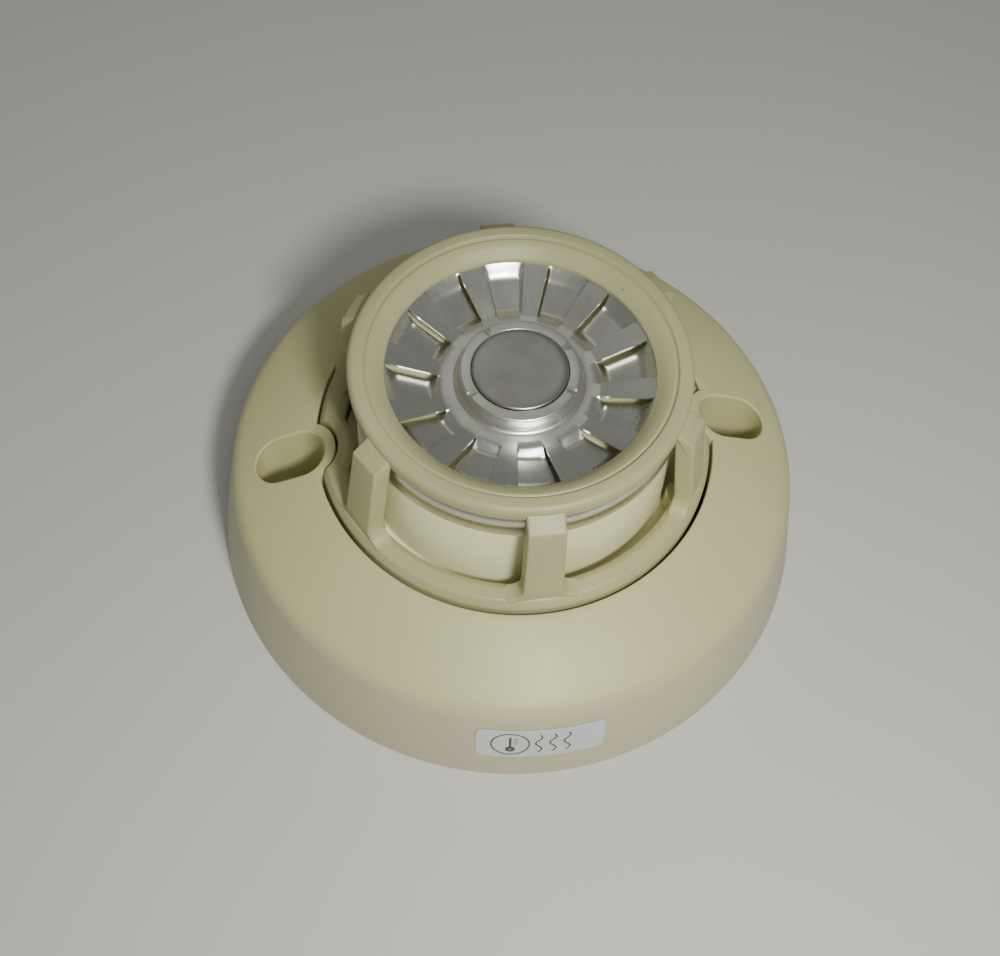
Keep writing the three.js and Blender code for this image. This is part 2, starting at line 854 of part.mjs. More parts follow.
function leafTerminal() {
  const made = bladeStrip(-1, leafRoot + rivetHead + bite, anchorFoot, anchorTop);
  return made.subtract(round(rivetRadius + boltGap, 0, through, leafRoot, 0));
}

function fixedTerminal() {
  return bladeStrip(1, contactOffset - contactRadius - bite, fixedArmFoot, fixedArmTop)
    .subtract(round(contactStem + boltGap, 0, through, contactOffset, 0))
    .subtract(round(rivetRadius + boltGap, 0, through, -leafRoot, 0));
}

function carrierScrewHoles(high) {
  const offsets = [carrierScrewOffset, -carrierScrewOffset];
  return joined(offsets.map((y) => round(headScrewRadius + boltGap, 0, high, 0, y)));
}

function carrierRivetHole(x, foot) {
  return round(rivetRadius + boltGap, foot - rivetDepth - holeEnd, through, x, 0);
}

function contactCarrier() {
  const foot = backTop + gap;
  const half = carrierWidth / 2;
  const end = carrierLength / 2;
  const pedestalHalf = half - pedestalInset;
  const pedestal = (x0, x1, top) => block(x0, x1, -pedestalHalf, pedestalHalf, foot, top);
  return block(-end, end, -half, half, foot, foot + carrierBase)
    .add(pedestal(-end, -end + pedestalLength, anchorFoot - gap))
    .add(pedestal(end - pedestalLength, end, fixedArmFoot - gap))
    .subtract(carrierScrewHoles(carrierScrewTip + holeEnd))
    .subtract(carrierRivetHole(leafRoot, anchorFoot))
    .subtract(carrierRivetHole(-leafRoot, fixedArmFoot));
}

function headBackPlate() {
  const slotHalf = bladeThickness / 2 + gap;
  const slot = block(-slotHalf, slotHalf, -bladeWidth / 2 - gap, bladeWidth / 2 + gap, 0, through);
  return round(backRadius, backTop - backThickness, backTop, 0, 0, roundFacets)
    .add(headScrews(earRadius, backTop - backThickness, backTop))
    .subtract(headScrews(headScrewRadius + boltGap, 0, through))
    .subtract(slot.translate([bladeOffset, 0, 0]))
    .subtract(slot.translate([-bladeOffset, 0, 0]))
    .subtract(carrierScrewHoles(through));
}

function headScrew(tip) {
  const headTop = backTop - backThickness - gap;
  return screw(headScrewRadius, tip, headScrewHead, headTop - headScrewHeadHeight, headTop);
}

// ---- finishes ----

const ivory = { color: 0xd6d3b4, roughness: 0.5, metalness: 0 };
const ivoryInner = { color: 0xd0cfae, roughness: 0.45, metalness: 0 };
const aluminium = { color: 0xb9babb, roughness: 0.32, metalness: 1 };
const brass = { color: 0xc9a356, roughness: 0.35, metalness: 1 };
const steel = { color: 0xb8b9ba, roughness: 0.35, metalness: 1 };
const bakelite = { color: 0x3a2a20, roughness: 0.5, metalness: 0 };
const silver = { color: 0xdcdcda, roughness: 0.25, metalness: 1 };
const rubber = { color: 0x2a2a2a, roughness: 0.85, metalness: 0 };
const nylon = { color: 0xe8e6de, roughness: 0.5, metalness: 0 };
const paper = { color: 0xecedec, roughness: 0.4, metalness: 0 };

const group = new THREE.Group();
const base = new THREE.Group();
const head = new THREE.Group();
group.add(base, head);

// A piece made about its own axis, put in place by its position and its turn about Z.
function addPiece(parent, name, shape, finish, at = [0, 0], turn = 0) {
  const made = shape.getMesh();
  const geometry = new THREE.BufferGeometry();
  geometry.setAttribute("position", new THREE.BufferAttribute(made.vertProperties.slice(), 3));
  geometry.setIndex(new THREE.BufferAttribute(made.triVerts.slice(), 1));
  geometry.computeVertexNormals();
  const mesh = new THREE.Mesh(geometry, new THREE.MeshStandardMaterial({ ...finish, flatShading: true }));
  mesh.name = name;
  mesh.position.set(at[0], at[1], 0);
  mesh.rotation.z = radians(turn);
  parent.add(mesh);
}

function addRing(parent, name, shape, circle, angles, finish) {
  const places = angles.map((angle) => circlePoint(circle, angle));
  places.forEach((at, i) => addPiece(parent, `${name}_${i + 1}`, shape, finish, at));
}

// A piece on the -X side and the same piece half a turn round.
function addPair(parent, name, shape, finish, at = [0, 0]) {
  addPiece(parent, `${name}_left`, shape, finish, at);
  addPiece(parent, `${name}_right`, shape, finish, [-at[0], -at[1]], 180);
}

addPiece(base, "base_housing", baseHousing(), ivory);
addPiece(base, "terminal_plate", terminalPlate(), ivoryInner);
addRing(base, "plate_screw", plateScrew(), plateScrewCircle, plateScrewAngles, steel);
addPair(base, "terminal_bracket", terminalBracket(), brass);
addPair(base, "bracket_rivet", rivet(plateFoot - rivetTail, stripTop + gap), brass, bracketRivetAt);
addPair(base, "clamp_plate", clampPlate(), steel, clampScrewAt);
addPair(base, "clamp_screw", clampScrew(), steel, clampScrewAt);
addPiece(base, "label_sticker", labelSticker(), paper);

addPiece(head, "cage", cage(), ivory);
addPiece(head, "collector_plate", collectorPlate(), aluminium);
addPiece(head, "sensor_cap", sensorCap(), aluminium);
addPiece(head, "bimetal_disc", bimetalDisc(), brass);
addPiece(head, "disc_retainer", discRetainer(), steel);
addPiece(head, "inner_housing", innerHousing(), ivoryInner);
addPiece(head, "pin_guide", pinGuide(), nylon);
addPiece(head, "contact_seal", contactSeal(), rubber);
addPiece(head, "push_pin", pushPin(), nylon);
addPiece(head, "contact_leaf", contactLeaf(), brass);
addPiece(head, "moving_contact", movingContact(), silver);
addPiece(head, "fixed_contact", fixedContact(), silver);
addPiece(head, "leaf_terminal", leafTerminal(), brass);
addPiece(head, "fixed_terminal", fixedTerminal(), brass);
addPiece(head, "leaf_rivet", rivet(anchorFoot - rivetDepth, leafTop + gap), steel, [leafRoot, 0]);
addPiece(head, "fixed_rivet", rivet(fixedArmFoot - rivetDepth, fixedArmTop + gap), steel, [-leafRoot, 0]);
addPiece(head, "contact_carrier", contactCarrier(), bakelite);
addPiece(head, "head_back_plate", headBackPlate(), ivoryInner);
addRing(head, "head_screw", headScrew(headScrewTip), headScrewCircle, headScrewAngles, steel);
addPiece(head, "carrier_screw_1", headScrew(carrierScrewTip), steel, [0, carrierScrewOffset]);
addPiece(head, "carrier_screw_2", headScrew(carrierScrewTip), steel, [0, -carrierScrewOffset]);

export default group;
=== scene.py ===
import json
import math

import bmesh
import bpy
from mathutils import Matrix, Vector


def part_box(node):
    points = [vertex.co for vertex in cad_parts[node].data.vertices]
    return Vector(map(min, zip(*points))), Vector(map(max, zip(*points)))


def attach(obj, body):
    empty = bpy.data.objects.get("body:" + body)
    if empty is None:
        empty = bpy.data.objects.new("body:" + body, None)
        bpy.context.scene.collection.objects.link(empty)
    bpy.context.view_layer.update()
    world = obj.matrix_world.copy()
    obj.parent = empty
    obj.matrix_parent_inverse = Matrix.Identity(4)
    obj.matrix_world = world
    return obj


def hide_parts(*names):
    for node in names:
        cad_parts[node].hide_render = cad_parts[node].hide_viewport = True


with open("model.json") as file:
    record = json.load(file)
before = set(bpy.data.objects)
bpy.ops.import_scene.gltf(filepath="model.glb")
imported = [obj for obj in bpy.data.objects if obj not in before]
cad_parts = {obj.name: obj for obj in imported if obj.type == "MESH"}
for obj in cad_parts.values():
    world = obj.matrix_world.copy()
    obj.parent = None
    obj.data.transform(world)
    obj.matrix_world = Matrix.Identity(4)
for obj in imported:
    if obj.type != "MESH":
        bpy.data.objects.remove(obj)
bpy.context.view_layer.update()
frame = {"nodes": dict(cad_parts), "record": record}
record = frame["record"]
bodies = record["behaviour"]["bodies"]
bodyOfNode = {node: body for body, nodes in bodies.items() for node in nodes}
slotOfNode = {part["node"]: part["material_slot"] for part in record["subparts"]}
print("frame loaded:", len(frame["nodes"]), "nodes")

# Shapes are worked out in millimetres and turned to metres when a piece is finished.
metre = 1000


def nodeBox(node):
    low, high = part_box(node)
    return low * metre, high * metre


class Surface:
    # A node material with short ways to add a texture, a mask or a mix.
    def __init__(self, name, roughness, metallic=0.0, coat=0.0):
        self.material = bpy.data.materials.new(name)
        self.material.use_nodes = True
        self.nodes = self.material.node_tree.nodes
        self.links = self.material.node_tree.links
        self.shader = next(n for n in self.nodes if n.type == "BSDF_PRINCIPLED")
        self.shader.inputs["Roughness"].default_value = roughness
        self.shader.inputs["Metallic"].default_value = metallic
        self.shader.inputs["Coat Weight"].default_value = coat
        self.place = self.nodes.new("ShaderNodeTexCoord").outputs["Object"]

    def join(self, value, socket):
        if isinstance(value, bpy.types.NodeSocket):
            self.links.new(value, socket)
        elif hasattr(socket.default_value, "__len__") and hasattr(value, "__len__"):
            socket.default_value = (*value, 1.0)[: len(socket.default_value)]
        else:
            socket.default_value = value

    def stretched(self, scale, turn=0.0):
        mapping = self.nodes.new("ShaderNodeMapping")
        mapping.inputs["Scale"].default_value = scale
        mapping.inputs["Rotation"].default_value = (0, 0, turn)
        self.links.new(self.place, mapping.inputs["Vector"])
        return mapping.outputs["Vector"]

    def noise(self, scale, detail=2.0, roughness=0.5, vector=None):
        texture = self.nodes.new("ShaderNodeTexNoise")
        texture.inputs["Scale"].default_value = scale
        texture.inputs["Detail"].default_value = detail
        texture.inputs["Roughness"].default_value = roughness
        self.links.new(vector or self.place, texture.inputs["Vector"])
        return texture.outputs["Fac"]

    def cells(self, scale):
        texture = self.nodes.new("ShaderNodeTexVoronoi")
        texture.inputs["Scale"].default_value = scale
        self.links.new(self.place, texture.inputs["Vector"])
        return texture.outputs["Distance"]

    def mapped(self, value, low, high, newLow=0.0, newHigh=1.0):
        node = self.nodes.new("ShaderNodeMapRange")
        self.links.new(value, node.inputs["Value"])
        node.inputs["From Min"].default_value = low
        node.inputs["From Max"].default_value = high
        node.inputs["To Min"].default_value = newLow
        node.inputs["To Max"].default_value = newHigh
        return node.outputs["Result"]

    def maths(self, operation, first, second=0.0):
        node = self.nodes.new("ShaderNodeMath")
        node.operation = operation
        self.join(first, node.inputs[0])
        self.join(second, node.inputs[1])
        return node.outputs["Value"]

    def product(self, first, *others):
        for other in others:
            first = self.maths("MULTIPLY", first, other)
        return first

    def mixed(self, share, first, second):
        node = self.nodes.new("ShaderNodeMix")
        node.data_type = "RGBA"
        self.join(share, node.inputs["Factor"])
        self.join(first, node.inputs["A"])
        self.join(second, node.inputs["B"])
        return node.outputs["Result"]

    def axis(self, name):
        node = self.nodes.new("ShaderNodeSeparateXYZ")
        self.links.new(self.place, node.inputs["Vector"])
        return node.outputs[name]

    def radius(self):
        squares = [self.maths("POWER", self.axis(name), 2) for name in ("X", "Y")]
        return self.maths("SQRT", self.maths("ADD", *squares))

    def angle(self):
        return self.maths("ARCTAN2", self.axis("Y"), self.axis("X"))

    def colour(self, value):
        self.join(value, self.shader.inputs["Base Color"])

    def roughen(self, value):
        self.join(value, self.shader.inputs["Roughness"])

    def bump(self, height, strength, distance, under=None):
        node = self.nodes.new("ShaderNodeBump")
        node.inputs["Strength"].default_value = strength
        node.inputs["Distance"].default_value = distance
        self.links.new(height, node.inputs["Height"])
        if under:
            self.links.new(under, node.inputs["Normal"])
        self.links.new(node.outputs["Normal"], self.shader.inputs["Normal"])
        return node.outputs["Normal"]


plastic = {
    "front": (0.530, 0.528, 0.262),
    "aged": (0.520, 0.500, 0.265),
    "side": (0.520, 0.480, 0.330),
    "stain": (0.450, 0.350, 0.230),
    "dirt": (0.120, 0.095, 0.060),
    "roughness": (0.40, 0.52),
    "grain": 2600.0,  # cells per metre
}


def mouldedPlastic(name, tone, sideTint=0.0, dirtAmount=1.0, shade=1.0):
    surface = Surface(name, 0.45)
    patches = surface.mapped(surface.noise(28.0, 3.0), 0.35, 0.68)
    aged = tuple(c * shade for c in plastic["aged"])
    body = surface.mixed(patches, tuple(c * shade for c in tone), aged)
    if sideTint:
        low = surface.mapped(surface.axis("Z"), 0.0192, 0.0172)
        wide = surface.mapped(surface.radius(), 0.0492, 0.0502)
        body = surface.mixed(surface.product(low, wide, sideTint), body, plastic["side"])
    stains = surface.mapped(surface.noise(95.0, 5.0, 0.6), 0.60, 0.80, 0.0, 0.16 * dirtAmount)
    body = surface.mixed(stains, body, plastic["stain"])
    specks = surface.mapped(surface.cells(420.0), 0.05, 0.09, 1.0, 0.0)
    rare = surface.mapped(surface.noise(160.0, 1.0), 0.66, 0.70)
    body = surface.mixed(surface.product(specks, rare, 0.7 * dirtAmount), body, plastic["dirt"])
    surface.colour(body)
    smear = surface.noise(70.0, 4.0, 0.6)
    surface.roughen(surface.mapped(smear, 0.3, 0.7, *plastic["roughness"]))
    waves = surface.bump(surface.noise(140.0, 2.0), 0.10, 0.0003)
    surface.bump(surface.noise(plastic["grain"], 2.0, 0.6), 0.22, 0.00005, waves)
    surface.shader.inputs["Subsurface Weight"].default_value = 0.04
    surface.shader.inputs["Subsurface Radius"].default_value = (0.0012, 0.0010, 0.0006)
    return surface.material


aluminiumLook = {
    "clean": (0.80, 0.81, 0.75),
    "dull": (0.63, 0.635, 0.57),
    "warm": (0.66, 0.61, 0.55),
    "roughness": (0.25, 0.38),
    "ringsPerMetre": 2800.0,
}


def spunAluminium(name, lathed, shade=1.0):
    # Fine rings where the sheet was turned, fine straight lines where it was only rolled.
    surface = Surface(name, 0.3, metallic=1.0)
    if lathed:
        rings = surface.nodes.new("ShaderNodeCombineXYZ")
        surface.links.new(surface.radius(), rings.inputs["X"])
        surface.links.new(surface.maths("MULTIPLY", surface.angle(), 0.0006), rings.inputs["Y"])
        grain = rings.outputs["Vector"]
    else:
        grain = surface.stretched((1.0, 0.04, 0.3), 0.35)
    lines = surface.noise(aluminiumLook["ringsPerMetre"], 2.0, 0.6, grain)
    patches = surface.mapped(surface.noise(85.0, 4.0, 0.6), 0.35, 0.70)
    tone = surface.mixed(patches, aluminiumLook["clean"], aluminiumLook["dull"])
    warmth = surface.mapped(surface.noise(150.0, 2.0), 0.55, 0.75, 0.0, 0.5)
    tone = surface.mixed(warmth, tone, aluminiumLook["warm"])
    # A shade below 1 mixes the metal's colour towards black; on the cap this is painted shade.
    surface.colour(surface.mixed(1 - shade, tone, (0.0, 0.0, 0.0)))
    worn = surface.maths("MULTIPLY", surface.maths("ADD", lines, patches), 0.5)
    surface.roughen(surface.mapped(worn, 0.2, 0.8, *aluminiumLook["roughness"]))
    waves = surface.bump(surface.noise(170.0, 1.0), 0.07, 0.0002)
    surface.bump(lines, 0.05, 0.00003, waves)
    return surface.material


def stampedMetal(name, bright, dark, roughness, grain=3000.0):
    surface = Surface(name, roughness, metallic=1.0)
    tarnish = surface.mapped(surface.noise(260.0, 5.0, 0.65), 0.35, 0.72)
    surface.colour(surface.mixed(tarnish, bright, dark))
    surface.roughen(surface.mapped(surface.noise(500.0, 3.0), 0.3, 0.7, roughness * 0.8, roughness * 1.35))
    surface.bump(surface.noise(grain, 2.0, 0.6, surface.stretched((1.0, 0.12, 1.0))), 0.10, 0.00004)
    return surface.material


def mouldedInsulator(name, main, other, roughness, grain=1800.0):
    surface = Surface(name, roughness)
    surface.colour(surface.mixed(surface.mapped(surface.noise(170.0, 4.0, 0.6), 0.35, 0.7), main, other))
    surface.roughen(surface.mapped(surface.noise(300.0, 3.0), 0.3, 0.7, roughness * 0.85, roughness * 1.2))
    surface.bump(surface.noise(grain, 3.0, 0.6), 0.2, 0.00006)
    return surface.material


def stickerVinyl(name):
    surface = Surface(name, 0.35, coat=0.2)
    cloudy = surface.mapped(surface.noise(180.0, 4.0, 0.6), 0.35, 0.7)
    surface.colour(surface.mixed(cloudy, (0.62, 0.64, 0.64), (0.56, 0.575, 0.57)))
    surface.bump(surface.noise(900.0, 2.0), 0.12, 0.00005)
    return surface.material


def printedInk(name):
    surface = Surface(name, 0.5)
    surface.colour(surface.mixed(surface.noise(2500.0, 3.0), (0.040, 0.045, 0.040), (0.085, 0.09, 0.08)))
    surface.bump(surface.noise(3500.0, 2.0), 0.1, 0.00002)
    return surface.material


finishes = {
    "base_ivory": mouldedPlastic("skirtPlastic", plastic["front"], sideTint=0.75),
    "cage_ivory": mouldedPlastic("cagePlastic", (0.425, 0.418, 0.215), dirtAmount=1.6, shade=0.90),
    "inner_ivory": mouldedPlastic("innerPlastic", (0.700, 0.700, 0.440), dirtAmount=0.3, shade=1.25),
    "collector_aluminium": spunAluminium("collectorMetal", lathed=False),
    # The cap's metal is darkened with shade 0.62: painted shade standing in for a darker reflection on its
    # top.
    "cap_aluminium": spunAluminium("capMetalPaintedShade", lathed=True, shade=0.62),
    "contact_brass": stampedMetal("dullBrass", (0.66, 0.48, 0.20), (0.46, 0.32, 0.14), 0.32),
    "bimetal": stampedMetal("bimetalStrip", (0.60, 0.52, 0.38), (0.42, 0.34, 0.24), 0.36),
    "screw_steel": stampedMetal("zincSteel", (0.62, 0.62, 0.60), (0.44, 0.43, 0.40), 0.30),
    "carrier_phenolic": mouldedInsulator("darkPhenolic", (0.045, 0.026, 0.018), (0.070, 0.042, 0.028), 0.38),
    "contact_silver": stampedMetal("contactSilver", (0.80, 0.79, 0.76), (0.60, 0.58, 0.54), 0.24),
    "seal_rubber": mouldedInsulator("sealRubber", (0.022, 0.022, 0.022), (0.040, 0.038, 0.036), 0.75),
    "guide_nylon": mouldedInsulator("naturalNylon", (0.72, 0.70, 0.62), (0.66, 0.63, 0.53), 0.42),
    "label_paper": stickerVinyl("stickerFace"),
}
inkFinish = printedInk("stickerInk")
print("materials made:", len(finishes) + 1)


def bevelled(bm, geom, offset, segments, affect="EDGES", clamp=False):
    bmesh.ops.bevel(
        bm, geom=geom, offset=offset, segments=segments, profile=0.5, affect=affect,
        material=-1, clamp_overlap=clamp,
    )
    return bm


def drawn(points, segments, closed):
    # An outline of (radius, height) points; a third number rounds that corner.
    bm = bmesh.new()
    corners = [bm.verts.new((point[0], 0, point[1])) for point in points]
    pairs = list(zip(corners, corners[1:]))
    if closed:
        pairs.append((corners[-1], corners[0]))
    for pair in pairs:
        bm.edges.new(pair)
    for corner, point in zip(corners, points):
        if len(point) > 2:
            bevelled(bm, [corner], point[2], segments, "VERTICES")
    return bm


def spun(bm, steps):
    bmesh.ops.spin(
        bm, geom=bm.verts[:] + bm.edges[:], cent=(0, 0, 0), axis=(0, 0, 1),
        angle=2 * math.pi, steps=steps, use_merge=True, use_duplicate=False,
    )
    bmesh.ops.remove_doubles(bm, verts=bm.verts, dist=0.0005)
    return bm


def lathe(points, steps=96, segments=4):
    offAxis = points[0][0] > 0 or points[-1][0] > 0
    bm = spun(drawn(points, segments, closed=offAxis), steps)
    bmesh.ops.recalc_face_normals(bm, faces=bm.faces)
    return bm


def roundBar(radius, low, high, x=0.0, y=0.0, steps=48, soften=0.0):
    bm = bmesh.new()
    bmesh.ops.create_cone(
        bm, cap_ends=True, segments=steps, radius1=radius, radius2=radius, depth=high - low,
        matrix=Matrix.Translation((x, y, (low + high) / 2)),
    )
    if soften:
        rims = [e for e in bm.edges if abs(e.verts[0].co.z - e.verts[1].co.z) < 1e-6]
        bevelled(bm, rims, soften, 3)
    return bm


def block(low, high, soften=0.0, segments=3):
    bm = bmesh.new()
    size = [b - a for a, b in zip(low, high)]
    middle = [(a + b) / 2 for a, b in zip(low, high)]
    bmesh.ops.create_cube(bm, size=1.0, matrix=Matrix.Translation(middle) @ Matrix.Diagonal((*size, 1)))
    if soften:
        bevelled(bm, bm.edges[:], soften, segments)
    return bm


def turned(bm, degrees):
    turn = Matrix.Rotation(math.radians(degrees), 3, "Z")
    bmesh.ops.rotate(bm, cent=(0, 0, 0), matrix=turn, verts=bm.verts)
    return bm


def sliced(bm, place, normal):
    everything = bm.verts[:] + bm.edges[:] + bm.faces[:]
    bmesh.ops.bisect_plane(bm, geom=everything, plane_co=place, plane_no=normal)


def extruded(bm, faces, way):
    made = bmesh.ops.extrude_face_region(bm, geom=faces)["geom"]
    bmesh.ops.translate(bm, vec=way, verts=[v for v in made if isinstance(v, bmesh.types.BMVert)])


def moved(bm, x, y, z=0.0):
    bmesh.ops.translate(bm, vec=(x, y, z), verts=bm.verts)
    return bm


def circlePoint(radius, degrees):
    return radius * math.cos(math.radians(degrees)), radius * math.sin(math.radians(degrees))


def meshObject(bm, name="work"):
    mesh = bpy.data.meshes.new(name)
    bm.to_mesh(mesh)
    bm.free()
    made = bpy.data.objects.new(name, mesh)
    bpy.context.scene.collection.objects.link(made)
    return made


def worked(target, *tools):
    # The target's shape with its modifiers applied; the working objects are dropped.
    result = bmesh.new()
    result.from_object(target, bpy.context.evaluated_depsgraph_get())
    for work in (target, *tools):
        mesh = work.data
        bpy.data.objects.remove(work)
        bpy.data.meshes.remove(mesh)
    return result


def combined(operation, bm, *others):
    # Joins, cuts or keeps the common part, and gives a new bmesh back.
    target = meshObject(bm)
    tools = [meshObject(other) for other in others]
    for tool in tools:
        modifier = target.modifiers.new(operation, "BOOLEAN")
        modifier.operation = operation
        modifier.solver = "MANIFOLD"
        modifier.object = tool
    return worked(target, *tools)


def thickened(bm, thickness):
    # Gives an open sheet its thickness, towards its back.
    target = meshObject(bm)
    wall = target.modifiers.new("sheet", "SOLIDIFY")
    wall.thickness = thickness
    wall.offset = -1
    return worked(target)


def joined(bm, *others):
    return combined("UNION", bm, *others)


def cut(bm, *others):
    return combined("DIFFERENCE", bm, *others)


def common(bm, *others):
    return combined("INTERSECT", bm, *others)


def scaled(bm, factor):
    bmesh.ops.scale(bm, vec=(factor, factor, factor), verts=bm.verts)
    return bm


def addPiece(bm, name, node, material):
    # One finished mesh in metres, on the body that holds its CAD node.
    piece = meshObject(scaled(bm, 1 / metre), name)
    piece.data.materials.append(material)
    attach(piece, bodyOfNode[node])
    return piece


def finishPiece(bm, name, nodes, sharpAngle=32.0):
    # A piece with smooth faces and sharp edges, in place of its CAD nodes.
    piece = addPiece(bm, name, nodes[0], finishes[slotOfNode[nodes[0]]])
    piece.data.shade_smooth()
    piece.data.set_sharp_from_angle(angle=math.radians(sharpAngle))
    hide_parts(*nodes)
    return piece


def softened(node, name, width=0.12):
    # A CAD node's own shape with its edges broken.
    bm = bmesh.new()
    bm.from_mesh(frame["nodes"][node].data)
    scaled(bm, metre)
    bmesh.ops.remove_doubles(bm, verts=bm.verts, dist=0.002)
    bmesh.ops.dissolve_limit(bm, angle_limit=math.radians(1.0), verts=bm.verts[:], edges=bm.edges[:])
    sharp = [e for e in bm.edges if e.is_manifold and e.calc_face_angle() > math.radians(50)]
    bevelled(bm, sharp, width, 2, clamp=True)
    bmesh.ops.recalc_face_normals(bm, faces=bm.faces)
    return finishPiece(bm, name, [node], sharpAngle=40.0)


baseLow, baseHigh = nodeBox("base_housing")
skirt = {
    "radius": baseHigh.x,
    "shoulderRadius": 50.6,
    "shoulderHeight": 18.9,
    "shoulderRound": 1.9,
    "coneTop": 25.4,
    "coneDome": 0.45,
    "mouthRadius": 35.22,
    "mouthRound": 0.45,
    "wall": 2.2,
    "mouthWall": 1.9,
    "tubeFoot": 5.1,
    "footRound": 0.35,
    "steps": 180,
    "ribWidth": 1.6,
    "ribAngles": [30, 60, 90, 120, 150, 210, 240, 270, 300, 330],
    "bossAngles": [90, 210, 330],
    "bossCircle": 40.2,
    "bossRadius": 3.2,
    "bossBore": 1.6,
}
well = {
    "innerSeat": 37.95,
    "outerSeat": 41.75,
    "halfWidth": 4.3,
    "wall": 2.0,
    "floor": 8.5,
    "floorThickness": 2.6,
    "rimRound": 0.5,
    "floorRound": 0.6,
    "slotHalfWidth": 2.3,
    "slotInnerSeat": 38.95,
}


def coneHeight(radius):
    # Height of the cone's outside; it carries on at the same slope inside the mouth.
    along = (skirt["shoulderRadius"] - radius) / (skirt["shoulderRadius"] - skirt["mouthRadius"])
    rise = (skirt["coneTop"] - skirt["shoulderHeight"]) * along
    return skirt["shoulderHeight"] + rise + 4 * skirt["coneDome"] * along * max(0.0, 1 - along)


def conePoints(start, end, drop, count=5):
    radii = [start + (end - start) * i / count for i in range(count + 1)]
    return [(radius, coneHeight(radius) - drop) for radius in radii]


def skirtShell():
    tubeOuter = skirt["mouthRadius"] + skirt["mouthWall"]
    shoulder = skirt["shoulderRadius"]
    outline = [
        (skirt["radius"], 0, skirt["footRound"]),
        (shoulder, skirt["shoulderHeight"], skirt["shoulderRound"]),
        *conePoints(shoulder - 3, skirt["mouthRadius"] + 1.5, 0),
        (skirt["mouthRadius"], skirt["coneTop"], skirt["mouthRound"]),
        (skirt["mouthRadius"], skirt["tubeFoot"], 0.3),
        (tubeOuter, skirt["tubeFoot"], 0.3),
        *conePoints(tubeOuter, shoulder - skirt["wall"], skirt["wall"], 4),
        (skirt["radius"] - skirt["wall"], 0, skirt["footRound"]),
    ]
    return lathe(outline, skirt["steps"], segments=5)


def ovalRing(bm, margin, steps=56, inner=None, outer=None):
    # A stadium-shaped loop on the XY plane, its long axis on X.
    inner = well["innerSeat"] if inner is None else inner
    outer = well["outerSeat"] if outer is None else outer
    ring = bmesh.ops.create_circle(bm, cap_ends=False, segments=steps, radius=1.0)["verts"]
    for vert in ring:
        seat = outer if vert.co.x > 1e-6 else inner
        vert.co = Vector((seat + vert.co.x * margin, vert.co.y * margin, 0))
    return ring


def ovalStack(levels, steps=56, inner=None, outer=None):
    # Bridges stadium loops of (half width, height or height function) into one closed body.
    bm = bmesh.new()
    loops = []
    for halfWidth, height in levels:
        ring = ovalRing(bm, halfWidth, steps, inner, outer)
        for vert in ring:
            vert.co.z = height(vert.co) if callable(height) else height
        loops.append([e for e in bm.edges if e.verts[0] in ring and e.verts[1] in ring])
    for lower, upper in zip(loops, loops[1:]):
        bmesh.ops.bridge_loops(bm, edges=lower + upper)
    bmesh.ops.holes_fill(bm, edges=[e for e in bm.edges if e.is_boundary], sides=0)
    bmesh.ops.recalc_face_normals(bm, faces=bm.faces)
    return bm


def underCone(drop):
    return lambda place: coneHeight(math.hypot(place.x, place.y)) - drop


def wellBoss():
    # The wall round a well; where it bulges into the mouth its rim carries the cone on.
    outside = well["halfWidth"] + well["wall"]
    edge = 0.45
    return ovalStack([
        (outside, well["floor"] - well["floorThickness"]),
        (outside, underCone(edge)),
        (outside - edge * 0.3, underCone(edge * 0.3 + 0.01)),
        (outside - edge, underCone(0.01)),
        (well["halfWidth"] - 0.6, underCone(0.01)),
    ])


def wellHole():
    # The well itself, with a rounded floor edge and a rounded rim.
    half = well["halfWidth"]
    rim = well["rimRound"]
    foot = well["floorRound"]
    levels = []
    for step in range(4):
        turn = math.radians(30 * step)
        levels.append((half - foot * (1 - math.sin(turn)), well["floor"] + foot * (1 - math.cos(turn))))
    for degrees in (0, 22, 44, 66):
        turn = math.radians(degrees)
        levels.append((half + rim * (1 - math.cos(turn)), underCone(rim * (1 - math.sin(turn)))))
    levels.append((half + rim * 1.5, underCone(-0.35)))
    levels.append((half + rim * 1.5, skirt["coneTop"] + 8))
    return ovalStack(levels)


def wellSlot():
    return ovalStack(
        [(well["slotHalfWidth"], -1), (well["slotHalfWidth"], well["floor"] + 1)],
        inner=well["slotInnerSeat"],
    )


def wellUnderside():
    return ovalStack([(well["halfWidth"], -1), (well["halfWidth"], well["floor"] - well["floorThickness"])])


def skirtRib():
    # A web between the mouth tube and the side wall, its top inside the cone's wall.
    start = skirt["mouthRadius"] + skirt["mouthWall"] / 2
    end = skirt["radius"] - skirt["wall"] / 2 - 0.6
    half = skirt["ribWidth"] / 2
    bm = block((start, -half, 0), (end, half, 1))
    for vert in bm.verts:
        inner = vert.co.x < (start + end) / 2
        if vert.co.z > 0.5:
            radius = vert.co.x if inner else skirt["shoulderRadius"] - skirt["wall"]
            vert.co.z = coneHeight(radius) - skirt["wall"] / 2
            vert.co.x = radius
        else:
            vert.co.z = skirt["tubeFoot"] + 0.3 if inner else 3.0
    return bm


def screwBosses(low, top, radius, circle, angles, soften=0.0):
    places = [circlePoint(circle, angle) for angle in angles]
    return [roundBar(radius, low, top, x, y, 40, soften) for x, y in places]


